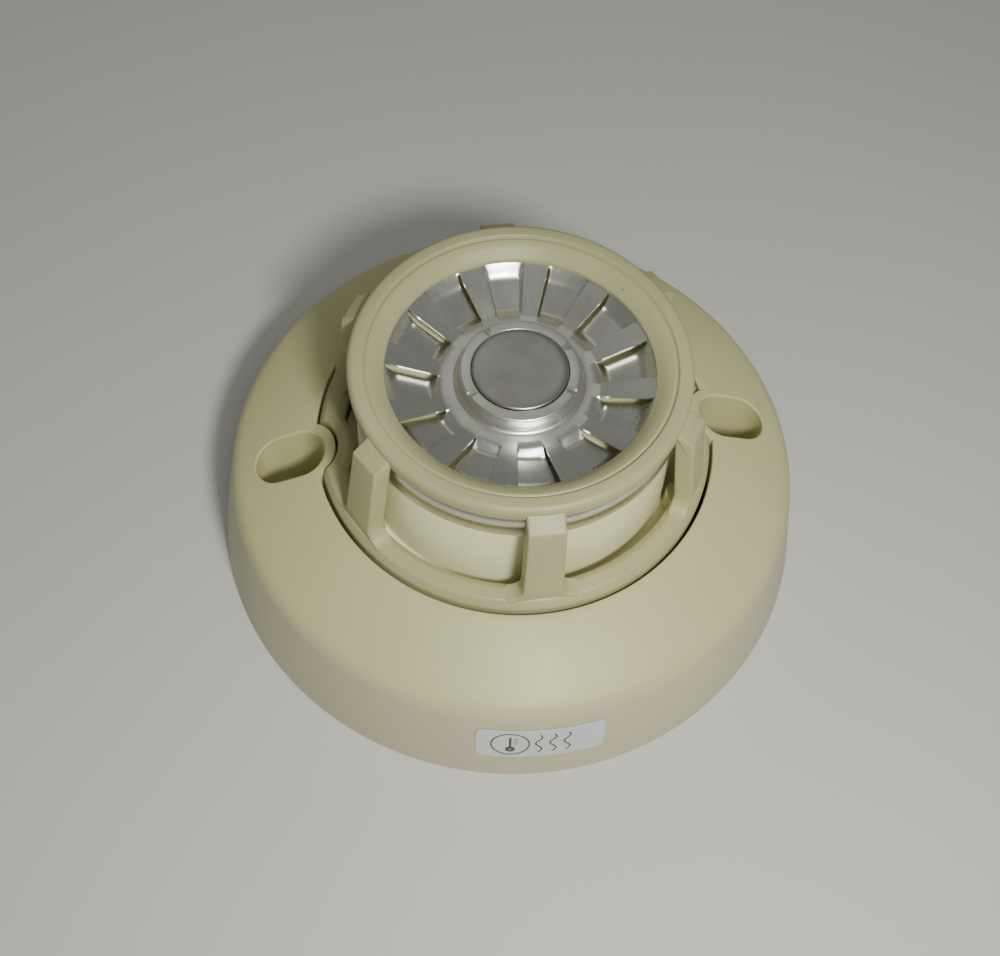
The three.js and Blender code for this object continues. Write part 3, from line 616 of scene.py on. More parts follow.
def makeSkirt():
    wells = [turned(wellBoss(), angle) for angle in (0, 180)]
    ribs = [turned(skirtRib(), angle) for angle in skirt["ribAngles"]]
    bossTop = coneHeight(skirt["bossCircle"] + skirt["bossRadius"]) - 1
    bosses = screwBosses(
        skirt["tubeFoot"], bossTop, skirt["bossRadius"], skirt["bossCircle"], skirt["bossAngles"], 0.2
    )
    bm = joined(skirtShell(), *wells, *ribs, *bosses)
    holes = [turned(shape(), angle) for shape in (wellHole, wellSlot, wellUnderside) for angle in (0, 180)]
    bores = screwBosses(
        skirt["tubeFoot"] - 1, bossTop - 3, skirt["bossBore"], skirt["bossCircle"], skirt["bossAngles"]
    )
    return finishPiece(cut(bm, *holes, *bores), "skirt", ["base_housing"], sharpAngle=28.0)


makeSkirt()
print("skirt made")


labelLow, labelHigh = nodeBox("label_sticker")
sticker = {
    "left": math.asin(labelLow.x / skirt["radius"]),  # angles from the front, in radians
    "right": math.asin(labelHigh.x / skirt["radius"]),
    "low": labelLow.z,
    "high": labelHigh.z,
    "corner": 1.4,
    "strips": 24,  # flat strips that follow the curve
    "thickness": 0.12,
    "gap": 0.10,
    "inkLift": 0.015,
    "line": 0.28,
}


def sideRadius(height):
    share = height / skirt["shoulderHeight"]
    return skirt["radius"] + (skirt["shoulderRadius"] - skirt["radius"]) * share


def wrapOnSide(bm, lift):
    # Lays a flat shape drawn in X and Z, thick in Y, round the front of the side wall.
    for vert in bm.verts:
        radius = sideRadius(vert.co.z) + lift - vert.co.y
        turn = (sticker["left"] + sticker["right"]) / 2 + vert.co.x / sideRadius(vert.co.z)
        vert.co.x = radius * math.sin(turn)
        vert.co.y = -radius * math.cos(turn)
    bmesh.ops.recalc_face_normals(bm, faces=bm.faces)
    return bm


def makeSticker():
    bm = bmesh.new()
    middle = (sticker["low"] + sticker["high"]) / 2
    width = (sticker["right"] - sticker["left"]) * sideRadius(middle)
    size = (width, sticker["high"] - sticker["low"])
    place = Matrix.Translation((0, 0, middle)) @ Matrix.Rotation(math.pi / 2, 4, "X")
    grid = bmesh.ops.create_grid(bm, x_segments=1, y_segments=1, size=0.5, matrix=Matrix.Identity(4))
    bmesh.ops.transform(bm, matrix=place @ Matrix.Diagonal((*size, 1, 1)), verts=grid["verts"])
    bevelled(bm, bm.verts[:], sticker["corner"], 7, "VERTICES")
    for step in range(1, sticker["strips"]):
        sliced(bm, (width * (step / sticker["strips"] - 0.5), 0, 0), (1, 0, 0))
    extruded(bm, bm.faces[:], (0, -sticker["thickness"], 0))
    return finishPiece(wrapOnSide(bm, sticker["gap"]), "sticker", ["label_sticker"])


def inkCircle(x, z, radius, steps):
    turns = [math.tau * i / steps for i in range(steps + 1)]
    return [(x + radius * math.cos(t), z + radius * math.sin(t)) for t in turns]


def inkStroke(points, width):
    # A flat line through (x, z) points, drawn as short bars with round ends.
    bm = bmesh.new()
    for (x0, z0), (x1, z1) in zip(points, points[1:]):
        length = math.hypot(x1 - x0, z1 - z0)
        turn = Matrix.Rotation(-math.atan2(z1 - z0, x1 - x0), 4, "Y")
        middle = Matrix.Translation(((x0 + x1) / 2, 0, (z0 + z1) / 2))
        bmesh.ops.create_cube(
            bm, size=1.0, matrix=middle @ turn @ Matrix.Diagonal((length, sticker["inkLift"], width, 1))
        )
    lying = Matrix.Rotation(math.pi / 2, 4, "X")
    for x, z in points:
        bmesh.ops.create_cone(
            bm, cap_ends=True, segments=16, radius1=width / 2, radius2=width / 2,
            depth=sticker["inkLift"] * 1.3, matrix=Matrix.Translation((x, 0, z)) @ lying,
        )
    return bm


def makeStickerPrint():
    # A plain thermometer in an oval, and three rising heat waves beside it.
    middle = (sticker["low"] + sticker["high"]) / 2
    line = sticker["line"]
    ovalX, ovalZ = -5.2, middle
    strokes = [
        inkStroke(inkCircle(ovalX, ovalZ, 3.2, 40), line),
        inkStroke(inkCircle(ovalX, ovalZ - 1.5, 0.55, 12), line * 2.2),
        inkStroke([(ovalX, ovalZ - 1.3), (ovalX, ovalZ + 1.9)], line * 1.6),
    ]
    for rise in (0.2, 0.9, 1.6):
        height = ovalZ + rise
        strokes.append(inkStroke([(ovalX + 0.6, height), (ovalX + 1.2, height)], line * 0.7))
    for wave in range(3):
        start = -0.4 + 2.4 * wave
        curve = [
            (start + 0.55 * math.sin(math.tau * i / 14), middle - 2.6 + 5.2 * i / 20) for i in range(21)
        ]
        strokes.append(inkStroke(curve, line))
    bm = bmesh.new()
    for stroke in strokes:
        mesh = bpy.data.meshes.new("stroke")
        stroke.to_mesh(mesh)
        stroke.free()
        bm.from_mesh(mesh)
        bpy.data.meshes.remove(mesh)
    bm = wrapOnSide(bm, sticker["gap"] + sticker["thickness"] + sticker["inkLift"])
    return addPiece(bm, "stickerPrint", "label_sticker", inkFinish)


makeSticker()
makeStickerPrint()
print("sticker made")


cageLow, cageHigh = nodeBox("cage")
cage = {
    "wallRadius": cageHigh.x + 0.22,
    "wall": 1.2,
    "foot": cageLow.z,
    "ringTop": cageHigh.z,
    "ringRadius": 28.3,
    "ringFoot": 45.1,
    "lipRadius": 22.3,
    "creaseRadius": 25.5,
    "sillInner": 30.2,
    "sillTop": 27.3,
    "sillThickness": 3.1,
    "sillChamfer": 0.8,
    "notchGap": 0.4,
    "notchBand": 2.9,
    "legAngles": [30, 90, 150, 210, 270, 330],
    "legTopReach": 31.05,
    "legTopHeight": 44.8,
    "legFootReach": 33.5,
    "legFootHeight": 29.2,
    "legDepth": 3.2,
    "legTopHalf": 3.05,
    "legFootHalf": 3.4,
    "legFlare": 2.6,
    "legRound": 0.5,
    "facetRound": 0.4,
    "screwCircle": 30.9,
    "screwAngles": [90, 210, 330],
    "earRadius": 2.4,
}
collectorLow, collectorHigh = nodeBox("collector_plate")


def cageRing():
    top = cage["ringTop"]
    foot = cage["ringFoot"] - 0.6
    outline = [
        (cage["lipRadius"], foot, 0.25),
        (cage["ringRadius"] - 0.8, foot, 0.2),
        (cage["ringRadius"], cage["ringFoot"], 0.2),
        (cage["ringRadius"], top - 0.05, 1.1),
        (cage["creaseRadius"] + 0.25, top, 0.2),
        (cage["creaseRadius"], top - 0.6, 0.08),
        (cage["creaseRadius"] - 0.4, top - 0.3, 0.25),
        (cage["creaseRadius"] - 1.7, top - 0.95, 0.6),
        (cage["lipRadius"] + 0.35, top - 2.1, 0.5),
        (cage["lipRadius"], foot + 0.8, 0.3),
    ]
    return lathe(outline, 180, segments=4)


def legHalfWidth(height):
    # Half the width of a leg at a height, flared where it meets the sill.
    span = cage["legTopHeight"] - cage["sillTop"]
    share = min(1.0, max(0.0, (height - cage["sillTop"]) / span))
    half = cage["legFootHalf"] + (cage["legTopHalf"] - cage["legFootHalf"]) * share
    into = min(1.0, max(0.0, 1 - (height - cage["sillTop"]) / cage["legFlare"]))
    return half + cage["legFlare"] * (1 - math.sqrt(max(0.0, 1 - into * into)))


def cageLeg():
    # A slab with a sloped top facet and softened edges, from the sill up to the ring.
    sillFoot = cage["sillTop"] - cage["sillThickness"]
    slope = (cage["legFootReach"] - cage["legTopReach"]) / (cage["legTopHeight"] - cage["legFootHeight"])
    innerTop = cage["legTopReach"] - cage["legDepth"] - slope
    outline = [
        (cage["legFootReach"] - cage["legDepth"], sillFoot + 0.4),
        (cage["wallRadius"] - 1.15, sillFoot + 0.4),
        (cage["wallRadius"] - 1.15, skirt["coneTop"] + 0.4),
        (cage["legFootReach"], cage["legFootHeight"]),
        (cage["legTopReach"], cage["legTopHeight"]),
        (cage["ringRadius"] - 0.5, cage["ringTop"] - 1.15),
        (innerTop - 0.6, cage["ringTop"] - 1.15),
        (innerTop, cage["ringFoot"]),
        (cage["legFootReach"] - cage["legDepth"], cage["legFootHeight"]),
    ]
    bm = bmesh.new()
    corners = [bm.verts.new((radius, -1.0, height)) for radius, height in outline]
    face = bm.faces.new(corners)
    extruded(bm, [face], (0, 2, 0))
    for vert in bm.verts:
        vert.co.y *= cage["legFootHalf"]
    sides = [e for e in bm.edges if abs(e.verts[0].co.y - e.verts[1].co.y) < 1e-4]
    bmesh.ops.recalc_face_normals(bm, faces=bm.faces)
    bevelled(bm, sides, cage["legRound"], 4)
    facet = [
        e for e in bm.edges
        if all(abs(v.co.z - cage["legTopHeight"]) < 0.3 for v in e.verts)
        and min(v.co.x for v in e.verts) > cage["ringRadius"] and abs(e.verts[0].co.y - e.verts[1].co.y) > 1
    ]
    bevelled(bm, facet, cage["facetRound"], 3)
    levels = [cage["sillTop"] + cage["legFlare"] * share for share in (0, 0.06, 0.15, 0.28, 0.45, 0.7, 1.0)]
    for height in levels + [33, 37, 41]:
        sliced(bm, (0, 0, height), (0, 0, 1))
    for vert in bm.verts:
        vert.co.y *= legHalfWidth(vert.co.z) / cage["legFootHalf"]
    return bm


def sillBand():
    # The sill under the windows: a light top, a steep outer chamfer and a sloped inner edge.
    foot = cage["sillTop"] - cage["sillThickness"]
    wall = cage["wallRadius"]
    shelf = wall - cage["sillChamfer"] - 0.3
    band = lathe([
        (cage["sillInner"], foot),
        (wall, foot),
        (wall, skirt["coneTop"] + 0.15, 0.3),
        (shelf + 0.15, cage["sillTop"] - 0.1, 0.35),
        (cage["sillInner"] + 1.25, cage["sillTop"], 0.35),
        (cage["sillInner"], cage["sillTop"] - 0.95, 0.3),
    ], 180)
    envelope = lathe([
        (0, foot),
        (wall, foot),
        (wall, skirt["coneTop"] + 0.15, 0.3),
        (shelf + 0.15, cage["sillTop"] - 0.1, 0.35),
        (0, cage["sillTop"]),
    ], 180)
    rooms = []
    for angle in (0, 180):
        outside = well["halfWidth"] + well["wall"] + cage["notchGap"] + cage["notchBand"]
        bump = ovalStack([
            (outside, foot - 1), (outside, cage["sillTop"] - 0.95), (outside - 0.5, cage["sillTop"] - 0.4),
            (outside - 1.2, cage["sillTop"] + 0.02), (outside - 1.3, cage["sillTop"] + 2),
        ])
        rooms.append(turned(bump, angle))
    return band, envelope, rooms


def makeCage():
    sillFoot = cage["sillTop"] - cage["sillThickness"]
    wall = cage["wallRadius"]
    band, envelope, rooms = sillBand()
    wallInner = wall - cage["wall"]
    tube = lathe([
        (wallInner, cage["foot"], 0.2),
        (wall, cage["foot"], 0.3),
        (wall, sillFoot + 0.5),
        (wallInner, sillFoot + 0.5),
    ], 180)
    bumps = [common(envelopeCopy, room) for envelopeCopy, room in zip((envelope, envelope.copy()), rooms)]
    legs = [turned(cageLeg(), angle) for angle in cage["legAngles"]]
    bosses = screwBosses(
        sillFoot - 2.9, sillFoot + 1, cage["earRadius"], cage["screwCircle"], cage["screwAngles"]
    )
    bm = joined(band, tube, *bumps, cageRing(), *legs, *bosses)
    gap = well["halfWidth"] + well["wall"] + cage["notchGap"]
    notches = []
    for angle in (0, 180):
        notch = ovalStack([
            (gap, -5), (gap, cage["sillTop"] - 0.5), (gap + 0.15, cage["sillTop"] - 0.15),
            (gap + 0.7, cage["sillTop"] + 0.2), (gap + 0.7, cage["sillTop"] + 4),
        ])
        notches.append(turned(notch, angle))
    bores = screwBosses(0, sillFoot + 0.2, 1.5, cage["screwCircle"], cage["screwAngles"])
    return finishPiece(cut(bm, *notches, *bores), "cageMoulding", ["cage"], sharpAngle=30.0)


makeCage()
print("cage made")


collector = {
    "top": collectorHigh.z,
    "rim": collectorHigh.x,
    "rimFoot": collectorLow.z,
    "rimRound": 2.3,
    "rimDrop": 0.6,
    "sheet": 0.45,
    "hubHeight": 41.6,
    "hubInner": 11.1,
    "hubOuter": 13.2,
    "fieldOuter": 22.6,
    "cupRadius": 10.1,
    "cupTop": 44.6,
    "cupBore": 8.12,
    "panels": 12,
    "panelHalf": 9.5,
    "drop": 1.7,
    "leastDrop": 0.8,
    "rampIn": 1.8,
    "rampOut": 1.9,
    "steps": 360,
    "slitStart": 0.35,
    "crimpAngles": [24, 118, 204, 328],
}


def smooth(value):
    value = min(1.0, max(0.0, value))
    return value * value * (3 - 2 * value)


def ramp(value):
    # A straight ramp with only its two ends rounded.
    value = min(1.0, max(0.0, value))
    return 0.85 * value + 0.15 * smooth(value)


def panelAt(degrees):
    # The angle from the nearest panel's middle, and the side of its slit (-1, +1, or 0 for none).
    pitch = 360 / collector["panels"]
    number = round((degrees - 90) / pitch) % collector["panels"]
    offset = (degrees - 90 - number * pitch + 180) % 360 - 180
    if number == 0:
        return offset, 0
    return offset, -1 if number < collector["panels"] / 2 else 1


def panelDrop(degrees):
    offset, slitSide = panelAt(degrees)
    half = collector["panelHalf"]
    if abs(offset) > half - 0.1:
        return 0.0
    if slitSide == 0:
        return collector["drop"] * 0.8 * smooth((half - abs(offset)) / 1.5)
    along = (offset * slitSide + half) / (2 * half - 1)
    tilt = collector["leastDrop"] + (1 - collector["leastDrop"]) * min(1.0, along)
    return collector["drop"] * tilt * smooth((offset * slitSide + half) / 1.0)


def collectorOutline():
    c = collector
    fieldCount = 22
    slope = (c["top"] - c["hubHeight"]) / (c["fieldOuter"] - c["hubOuter"])
    field = []
    for step in range(fieldCount + 1):
        radius = c["hubOuter"] + (c["fieldOuter"] - c["hubOuter"]) * step / fieldCount
        field.append((radius, c["hubHeight"] + slope * (radius - c["hubOuter"])))
    return [
        (c["cupBore"], c["cupTop"] - 0.5),
        (c["cupBore"], c["cupTop"], 0.18),
        (c["cupRadius"], c["cupTop"], 0.4),
        (c["cupRadius"] + 0.12, c["hubHeight"], 1.0),
        (c["hubInner"] + 0.9, c["hubHeight"]),
        *field,
        (c["fieldOuter"] + 1.4, c["top"]),
        (c["fieldOuter"] + 2.0, c["top"] - c["rimDrop"]),
        (c["rim"], c["top"] - c["rimDrop"], c["rimRound"]),
        (c["rim"], c["top"] - 3.4),
        (c["rim"] - 0.12, c["top"] - 3.6),
        (c["rim"], c["rimFoot"] + 0.1),
    ]


def makeCollector():
    c = collector
    bm = spun(turned(drawn(collectorOutline(), 6, closed=False), 0.5), c["steps"])
    for vert in bm.verts:
        radius = math.hypot(vert.co.x, vert.co.y)
        degrees = math.degrees(math.atan2(vert.co.y, vert.co.x))
        if c["hubOuter"] < radius < c["fieldOuter"] and vert.co.z < c["top"] - 1e-4:
            fromHub = ramp((radius - c["hubOuter"]) / c["rampIn"])
            fromRim = ramp((c["fieldOuter"] - radius) / c["rampOut"])
            vert.co.z -= panelDrop(degrees) * min(fromHub, fromRim)
        if radius < c["cupRadius"] + 0.05 and vert.co.z > c["cupTop"] - 0.9:
            for crimp in c["crimpAngles"]:
                away = (degrees - crimp + 180) % 360 - 180
                push = math.exp(-(away / 2.6) ** 2) * math.exp(-((radius - c["cupRadius"] + 0.5) / 0.7) ** 2)
                vert.co.z -= 0.32 * push
    slits = []
    for face in bm.faces:
        middle = face.calc_center_median()
        radius = math.hypot(middle.x, middle.y)
        offset, slitSide = panelAt(math.degrees(math.atan2(middle.y, middle.x)))
        inSlit = slitSide and abs(offset * slitSide - (c["panelHalf"] - 0.5)) < 0.25
        if inSlit and c["hubOuter"] + c["slitStart"] < radius < c["fieldOuter"] - 0.3:
            slits.append(face)
    bmesh.ops.delete(bm, geom=slits, context="FACES")
    bmesh.ops.recalc_face_normals(bm, faces=bm.faces)
    if sum(face.normal.z for face in bm.faces) < 0:
        bmesh.ops.reverse_faces(bm, faces=bm.faces)
    return finishPiece(thickened(bm, c["sheet"]), "collectorSheet", ["collector_plate"], sharpAngle=38.0)


makeCollector()
print("collector made")


capLow, capHigh = nodeBox("sensor_cap")
cup = {
    "capRadius": 8.02,
    "brim": capHigh.x,
    "top": capHigh.z,
    "foot": capLow.z,
    "sheet": 0.6,
    "shoulder": 0.9,
}


def makeCup():
    brimTop = collector["cupTop"] - 0.9
    inside = cup["capRadius"] - cup["sheet"]
    outline = [
        (0, cup["top"] - cup["sheet"]),
        (inside, cup["top"] - cup["sheet"], 0.4),
        (inside, cup["foot"], 0.1),
        (cup["capRadius"], cup["foot"], 0.15),
        (cup["capRadius"], brimTop - cup["sheet"]),
        (cup["brim"], brimTop - cup["sheet"], 0.15),
        (cup["brim"], brimTop, 0.15),
        (cup["capRadius"], brimTop),
        (cup["capRadius"], cup["top"] - 0.12, 0.28),
        (cup["capRadius"] - cup["shoulder"], cup["top"], 0.4),
        (0, cup["top"]),
    ]
    return finishPiece(lathe(outline, 144, segments=5), "cupCap", ["sensor_cap"], sharpAngle=40.0)


def makeSnapDisc():
    low, high = nodeBox("bimetal_disc")
    thickness = 0.35
    rise = high.z - low.z - thickness
    radii = [high.x * share for share in (0, 0.25, 0.5, 0.75, 1.0)]
    under = [(radius, low.z + rise * (1 - (radius / high.x) ** 2)) for radius in radii]
    over = [(radius, height + thickness) for radius, height in reversed(under)]
    return finishPiece(lathe(under + over, 72), "snapDisc", ["bimetal_disc"])


def makeTube(node, name, bore, soften, steps=72):
    low, high = nodeBox(node)
    radius = (high.x - low.x) / 2
    outline = [
        (bore, low.z, soften), (radius, low.z, soften), (radius, high.z, soften), (bore, high.z, soften),
    ]
    return finishPiece(lathe(outline, steps), name, [node])


makeCup()
makeSnapDisc()
makeTube("disc_retainer", "discRing", 5.4, 0.12)
makeTube("contact_seal", "sealRing", 26.4, 0.18, 120)


innerLow, innerHigh = nodeBox("inner_housing")
inner = {
    "wallFoot": 27.9,
    "wallTop": 27.3,
    "wall": 1.7,
    "deckTop": 38.0,
    "deck": 1.8,
    "upstand": 26.6,
    "upstandWall": 2.0,
    "flange": 30.6,
    "flangeTop": 21.0,
    "foot": innerLow.z,
    "top": innerHigh.z,
    "sealInner": 26.1,
    "sealOuter": 28.7,
    "sealHeight": 0.9,
    "guideBore": 2.9,
}


def makeInnerHousing():
    wallInner = inner["wallTop"] - inner["wall"]
    outline = [
        (wallInner, inner["foot"]),
        (inner["sealInner"], inner["foot"]),
        (inner["sealInner"], inner["foot"] + inner["sealHeight"]),
        (inner["sealOuter"], inner["foot"] + inner["sealHeight"]),
        (inner["sealOuter"], inner["foot"]),
        (inner["flange"], inner["foot"], 0.2),
        (inner["flange"], inner["flangeTop"], 0.3),
        (inner["wallFoot"], inner["flangeTop"], 0.5),
        (inner["wallTop"], inner["deckTop"], 0.4),
        (inner["upstand"], inner["deckTop"], 0.2),
        (inner["upstand"], inner["top"], 0.25),
        (inner["upstand"] - inner["upstandWall"], inner["top"], 0.25),
        (inner["upstand"] - inner["upstandWall"], inner["deckTop"], 0.3),
        (inner["guideBore"], inner["deckTop"], 0.15),
        (inner["guideBore"], inner["deckTop"] - inner["deck"], 0.15),
        (wallInner, inner["deckTop"] - inner["deck"], 0.6),
    ]
    ears = screwBosses(
        inner["foot"], inner["flangeTop"], cage["earRadius"], cage["screwCircle"], cage["screwAngles"], 0.15
    )
    bores = screwBosses(0, inner["flangeTop"] + 1, 1.5, cage["screwCircle"], cage["screwAngles"])
    bm = cut(joined(lathe(outline, 144), *ears), *bores)
    return finishPiece(bm, "innerCup", ["inner_housing"], sharpAngle=35.0)


makeInnerHousing()
print("inner housing made")


def makeBackPlate():
    low, high = nodeBox("head_back_plate")
    radius = 30.5
    disc = lathe([(0, low.z), (radius, low.z, 0.25), (radius, high.z, 0.25), (0, high.z)], 144)
    ears = screwBosses(low.z, high.z, cage["earRadius"], cage["screwCircle"], cage["screwAngles"], 0.15)
    bores = screwBosses(0, high.z + 1, 1.5, cage["screwCircle"], cage["screwAngles"])
    bores += [roundBar(1.5, 0, high.z + 1, 0, y) for y in (5.5, -5.5)]
    slots = []
    for node in ("leaf_terminal", "fixed_terminal"):
        bladeLow, bladeHigh = nodeBox(node)
        outer = bladeHigh.x if node == "fixed_terminal" else bladeLow.x
        blade = outer - math.copysign(0.4, outer)
        slots.append(block((blade - 0.7, -2.8, 0), (blade + 0.7, 2.8, high.z + 1)))
    grooveIn, grooveOut = 22.0, 23.4
    bead = lathe([
        (grooveIn, low.z - 0.1),
        (grooveOut, low.z - 0.1),
        (grooveOut, low.z + 0.35, 0.15),
        (grooveIn, low.z + 0.35, 0.15),
    ], 144)
    bm = cut(joined(disc, *ears), *bores, *slots, bead)
    return finishPiece(bm, "headFloor", ["head_back_plate"], sharpAngle=35.0)


def makeTerminalPlate():
    low, high = nodeBox("terminal_plate")
    top = high.z - 2.2
    disc = lathe([
        (8.0, low.z, 0.3), (38.2, low.z, 0.3), (38.2, top, 0.3),
        (9.5, top, 0.4), (9.5, high.z, 0.4), (8.0, high.z, 0.4),
    ], 144)
    ears = screwBosses(low.z, top, skirt["bossRadius"], skirt["bossCircle"], skirt["bossAngles"], 0.2)
    bores = screwBosses(0, top + 1, 1.6, skirt["bossCircle"], skirt["bossAngles"])
    halves = []
    gap = well["halfWidth"] + well["wall"] + 0.3
    for angle in (0, 180):
        halves.append(turned(ovalStack([(gap, 0), (gap, top + 3)]), angle))
        bores.append(turned(roundBar(1.9, 0, top + 1, 20, -9), angle))
        bores.append(turned(roundBar(1.5, 0, top + 1, 21.5, 1.5), angle))
    bm = cut(joined(disc, *ears), *halves, *bores)
    return finishPiece(bm, "terminalFloor", ["terminal_plate"], sharpAngle=35.0)


makeBackPlate()
makeTerminalPlate()
print("plates made")


screw = {"pitch": 0.8, "threadDepth": 0.18, "recessDepth": 0.75, "recessHalf": 0.33}


def threadOutline(radius, start, end):
    # A saw-tooth edge from one height to another, ending in a short point.
    direction = 1 if end > start else -1
    count = int((abs(end - start) - 1.4) / screw["pitch"])
    points = []
    for turn in range(count):
        height = start + direction * (0.4 + turn * screw["pitch"])
        points.append((radius, height))
        points.append((radius - screw["threadDepth"], height + direction * screw["pitch"] / 2))
    points.append((radius * 0.85, end - direction * 0.6))
    points.append((radius * 0.25, end))
    points.append((0, end))
    return points


def crossScrew(node, name, shank, headHeight):
    # A pan-head screw driven from below.
    low, high = nodeBox(node)
    middle = (low + high) / 2
    head = (high.x - low.x) / 2
    outline = [
        (0, low.z),
        (head * 0.62, low.z, 0.35),
        (head, low.z + headHeight * 0.45, 0.35),
        (head, low.z + headHeight, 0.12),
        (shank, low.z + headHeight),
        *threadOutline(shank, low.z + headHeight, high.z),
    ]
    reach, half = head * 0.58, screw["recessHalf"]
    bars = []
    for angle in (0, 90):
        bar = block((-reach, -half, low.z - 1), (reach, half, low.z + screw["recessDepth"]), 0.08, 1)
        bars.append(turned(bar, angle))
    bm = cut(lathe(outline, 40), *bars)
    return finishPiece(moved(turned(bm, 25 * len(name)), middle.x, middle.y), name, [node], sharpAngle=35.0)


def clampScrew(node, name):
    low, high = nodeBox(node)
    middle = (low + high) / 2
    head, headFoot = 3.3, high.z - 2.4
    outline = [
        (0, high.z),
        (head * 0.6, high.z, 0.4),
        (head, high.z - 0.9, 0.5),
        (head, headFoot, 0.2),
        (1.6, headFoot),
        *threadOutline(1.6, headFoot, low.z),
    ]
    slot = block((-head - 1, -0.45, high.z - 1.1), (head + 1, 0.45, high.z + 1))
    bm = cut(lathe(outline, 48), slot)
    return finishPiece(moved(turned(bm, 35), middle.x, middle.y), name, [node], sharpAngle=35.0)


def rivet(node, name, shank, headHeight):
    low, high = nodeBox(node)
    middle = (low + high) / 2
    head = (high.x - low.x) / 2
    outline = [
        (0, low.z), (shank, low.z, 0.2), (shank, high.z - headHeight),
        (head, high.z - headHeight, 0.15), (head, high.z - headHeight * 0.55, 0.35),
        (head * 0.5, high.z, 0.5), (0, high.z),
    ]
    return finishPiece(moved(lathe(outline, 40), middle.x, middle.y), name, [node], sharpAngle=40.0)


def contactButton(node, name, radius, stem, faceUp):
    # A contact's button with its thin stem through the strip.
    low, high = nodeBox(node)
    middle = (low + high) / 2
    if faceUp:
        face = high.z
        outline = [
            (0, low.z), (stem, low.z, 0.1), (stem, face - 0.38), (radius, face - 0.38, 0.08),
            (radius, face - 0.1, 0.1), (radius * 0.6, face, 0.2), (0, face),
        ]
    else:
        outline = [
            (0, low.z), (radius * 0.6, low.z, 0.2), (radius, low.z + 0.12, 0.12), (radius, low.z + 0.75, 0.1),
            (stem, low.z + 0.75), (stem, high.z, 0.1), (0, high.z),
        ]
    return finishPiece(moved(lathe(outline, 40), middle.x, middle.y), name, [node], sharpAngle=40.0)


def makePin():
    low, high = nodeBox("push_pin")
    outline = [
        (0, low.z), (0.55, low.z, 0.2), (1.0, low.z + 0.45, 0.2), (1.0, high.z - 0.8),
        (1.8, high.z - 0.8, 0.12), (1.8, high.z - 0.15, 0.2), (1.0, high.z, 0.4), (0, high.z),
    ]
    return finishPiece(lathe(outline, 40), "pushPin", ["push_pin"], sharpAngle=40.0)


def makeGuide():
    low, high = nodeBox("pin_guide")
    outline = [
        (1.3, low.z, 0.15), (2.6, low.z, 0.3), (2.6, high.z - 1.1), (4.0, high.z - 1.1, 0.15),
        (4.0, high.z, 0.3), (1.3, high.z, 0.25),
    ]
    return finishPiece(lathe(outline, 56), "pinGuide", ["pin_guide"], sharpAngle=40.0)


for number in (1, 2, 3):
    crossScrew(f"plate_screw_{number}", f"plateScrew{number}", 1.3, 1.3)
    crossScrew(f"head_screw_{number}", f"headScrew{number}", 1.2, 1.3)
for number in (1, 2):
    crossScrew(f"carrier_screw_{number}", f"carrierScrew{number}", 1.2, 1.3)
for side in ("left", "right"):
    clampScrew(f"clamp_screw_{side}", f"clampScrew{side.title()}")
    rivet(f"bracket_rivet_{side}", f"bracketRivet{side.title()}", 1.2, 0.8)
    softened(f"terminal_bracket_{side}", f"terminalFork{side.title()}")
    softened(f"clamp_plate_{side}", f"clampPlate{side.title()}", 0.2)
rivet("leaf_rivet", "leafRivet", 1.2, 0.8)
rivet("fixed_rivet", "fixedRivet", 1.2, 0.8)
contactButton("moving_contact", "movingContact", 1.3, 0.6, faceUp=False)
contactButton("fixed_contact", "fixedContact", 1.3, 0.6, faceUp=True)
makePin()
makeGuide()
softened("contact_leaf", "springLeaf", 0.08)
softened("leaf_terminal", "leafBlade")
softened("fixed_terminal", "fixedBlade")
softened("contact_carrier", "contactBlock", 0.35)
print("small parts made")


stage = {
    "floorSize": 3.0,
    "floorTone": (0.60, 0.605, 0.56),
    "worldTone": (0.62, 0.63, 0.62),
    "worldStrength": 0.28,
    "azimuth": -11.3,
    "elevation": 60.6,
    "roll": 4.48,
    "distance": 0.2417,
    "aim": (-0.0014, 0.0028),  # where the view's axis meets the floor, seen from the camera's side
    "focal": 44.24,
    "shift": (-0.0027, 0.0088),
}


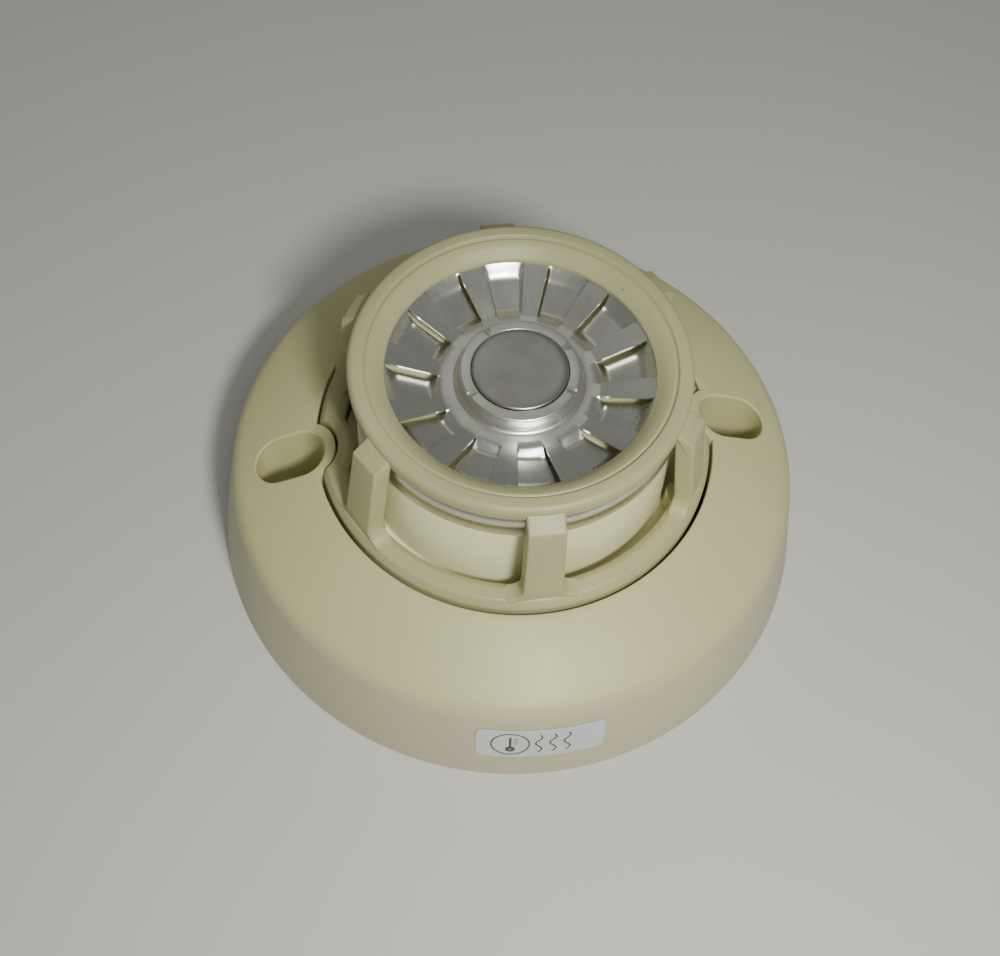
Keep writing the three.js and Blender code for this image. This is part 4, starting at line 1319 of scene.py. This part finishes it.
def makeFloor():
    bm = bmesh.new()
    bmesh.ops.create_grid(bm, x_segments=4, y_segments=4, size=stage["floorSize"])
    floor = meshObject(bm, "floor")
    surface = Surface("paleFloor", 0.7)
    darker = tuple(c * 0.95 for c in stage["floorTone"])
    surface.colour(surface.mixed(surface.noise(14.0, 3.0), stage["floorTone"], darker))
    surface.bump(surface.noise(500.0, 2.0), 0.15, 0.0002)
    floor.data.materials.append(surface.material)


def makeWorld():
    world = bpy.data.worlds.new("studio")
    bpy.context.scene.world = world
    world.use_nodes = True
    background = next(n for n in world.node_tree.nodes if n.type == "BACKGROUND")
    background.inputs["Color"].default_value = (*stage["worldTone"], 1)
    background.inputs["Strength"].default_value = stage["worldStrength"]


def areaLight(name, place, target, size, power, tone=(1, 1, 1)):
    light = bpy.data.lights.new(name, "AREA")
    light.shape = "DISK"
    light.size = size
    light.energy = power
    light.color = tone
    lamp = bpy.data.objects.new(name, light)
    lamp.location = place
    lamp.rotation_euler = (Vector(target) - Vector(place)).to_track_quat("-Z", "Y").to_euler()
    bpy.context.scene.collection.objects.link(lamp)


def makeCamera():
    turn = Matrix.Rotation(math.radians(stage["azimuth"]), 3, "Z")
    lift, roll = math.radians(stage["elevation"]), math.radians(stage["roll"])
    back = Vector((0, -math.cos(lift), math.sin(lift)))
    right = Vector((1, 0, 0))
    up = back.cross(right)
    rolledRight = right * math.cos(roll) + up * math.sin(roll)
    rolledUp = up * math.cos(roll) - right * math.sin(roll)
    axes = Matrix((turn @ rolledRight, turn @ rolledUp, turn @ back)).transposed()
    aim = turn @ Vector((*stage["aim"], 0))
    data = bpy.data.cameras.new("camera")
    data.lens = stage["focal"]
    data.shift_x, data.shift_y = stage["shift"]
    data.clip_start = 0.01
    camera = bpy.data.objects.new("camera", data)
    camera.matrix_world = Matrix.Translation(aim + turn @ back * stage["distance"]) @ axes.to_4x4()
    bpy.context.scene.collection.objects.link(camera)
    bpy.context.scene.camera = camera


makeFloor()
makeWorld()
makeCamera()
centre = (0, 0, 0.03)
areaLight("flash", (0.03, -0.162, 0.225), centre, 0.04, 0.62, (1.0, 0.985, 0.95))
areaLight("ceiling", (0.05, -0.30, 0.62), centre, 0.22, 0.62, (1.0, 0.98, 0.94))
areaLight("card", (0.0, 0.50, 0.86), centre, 0.56, 0.26, (1.0, 0.975, 0.90))
print("stage set")
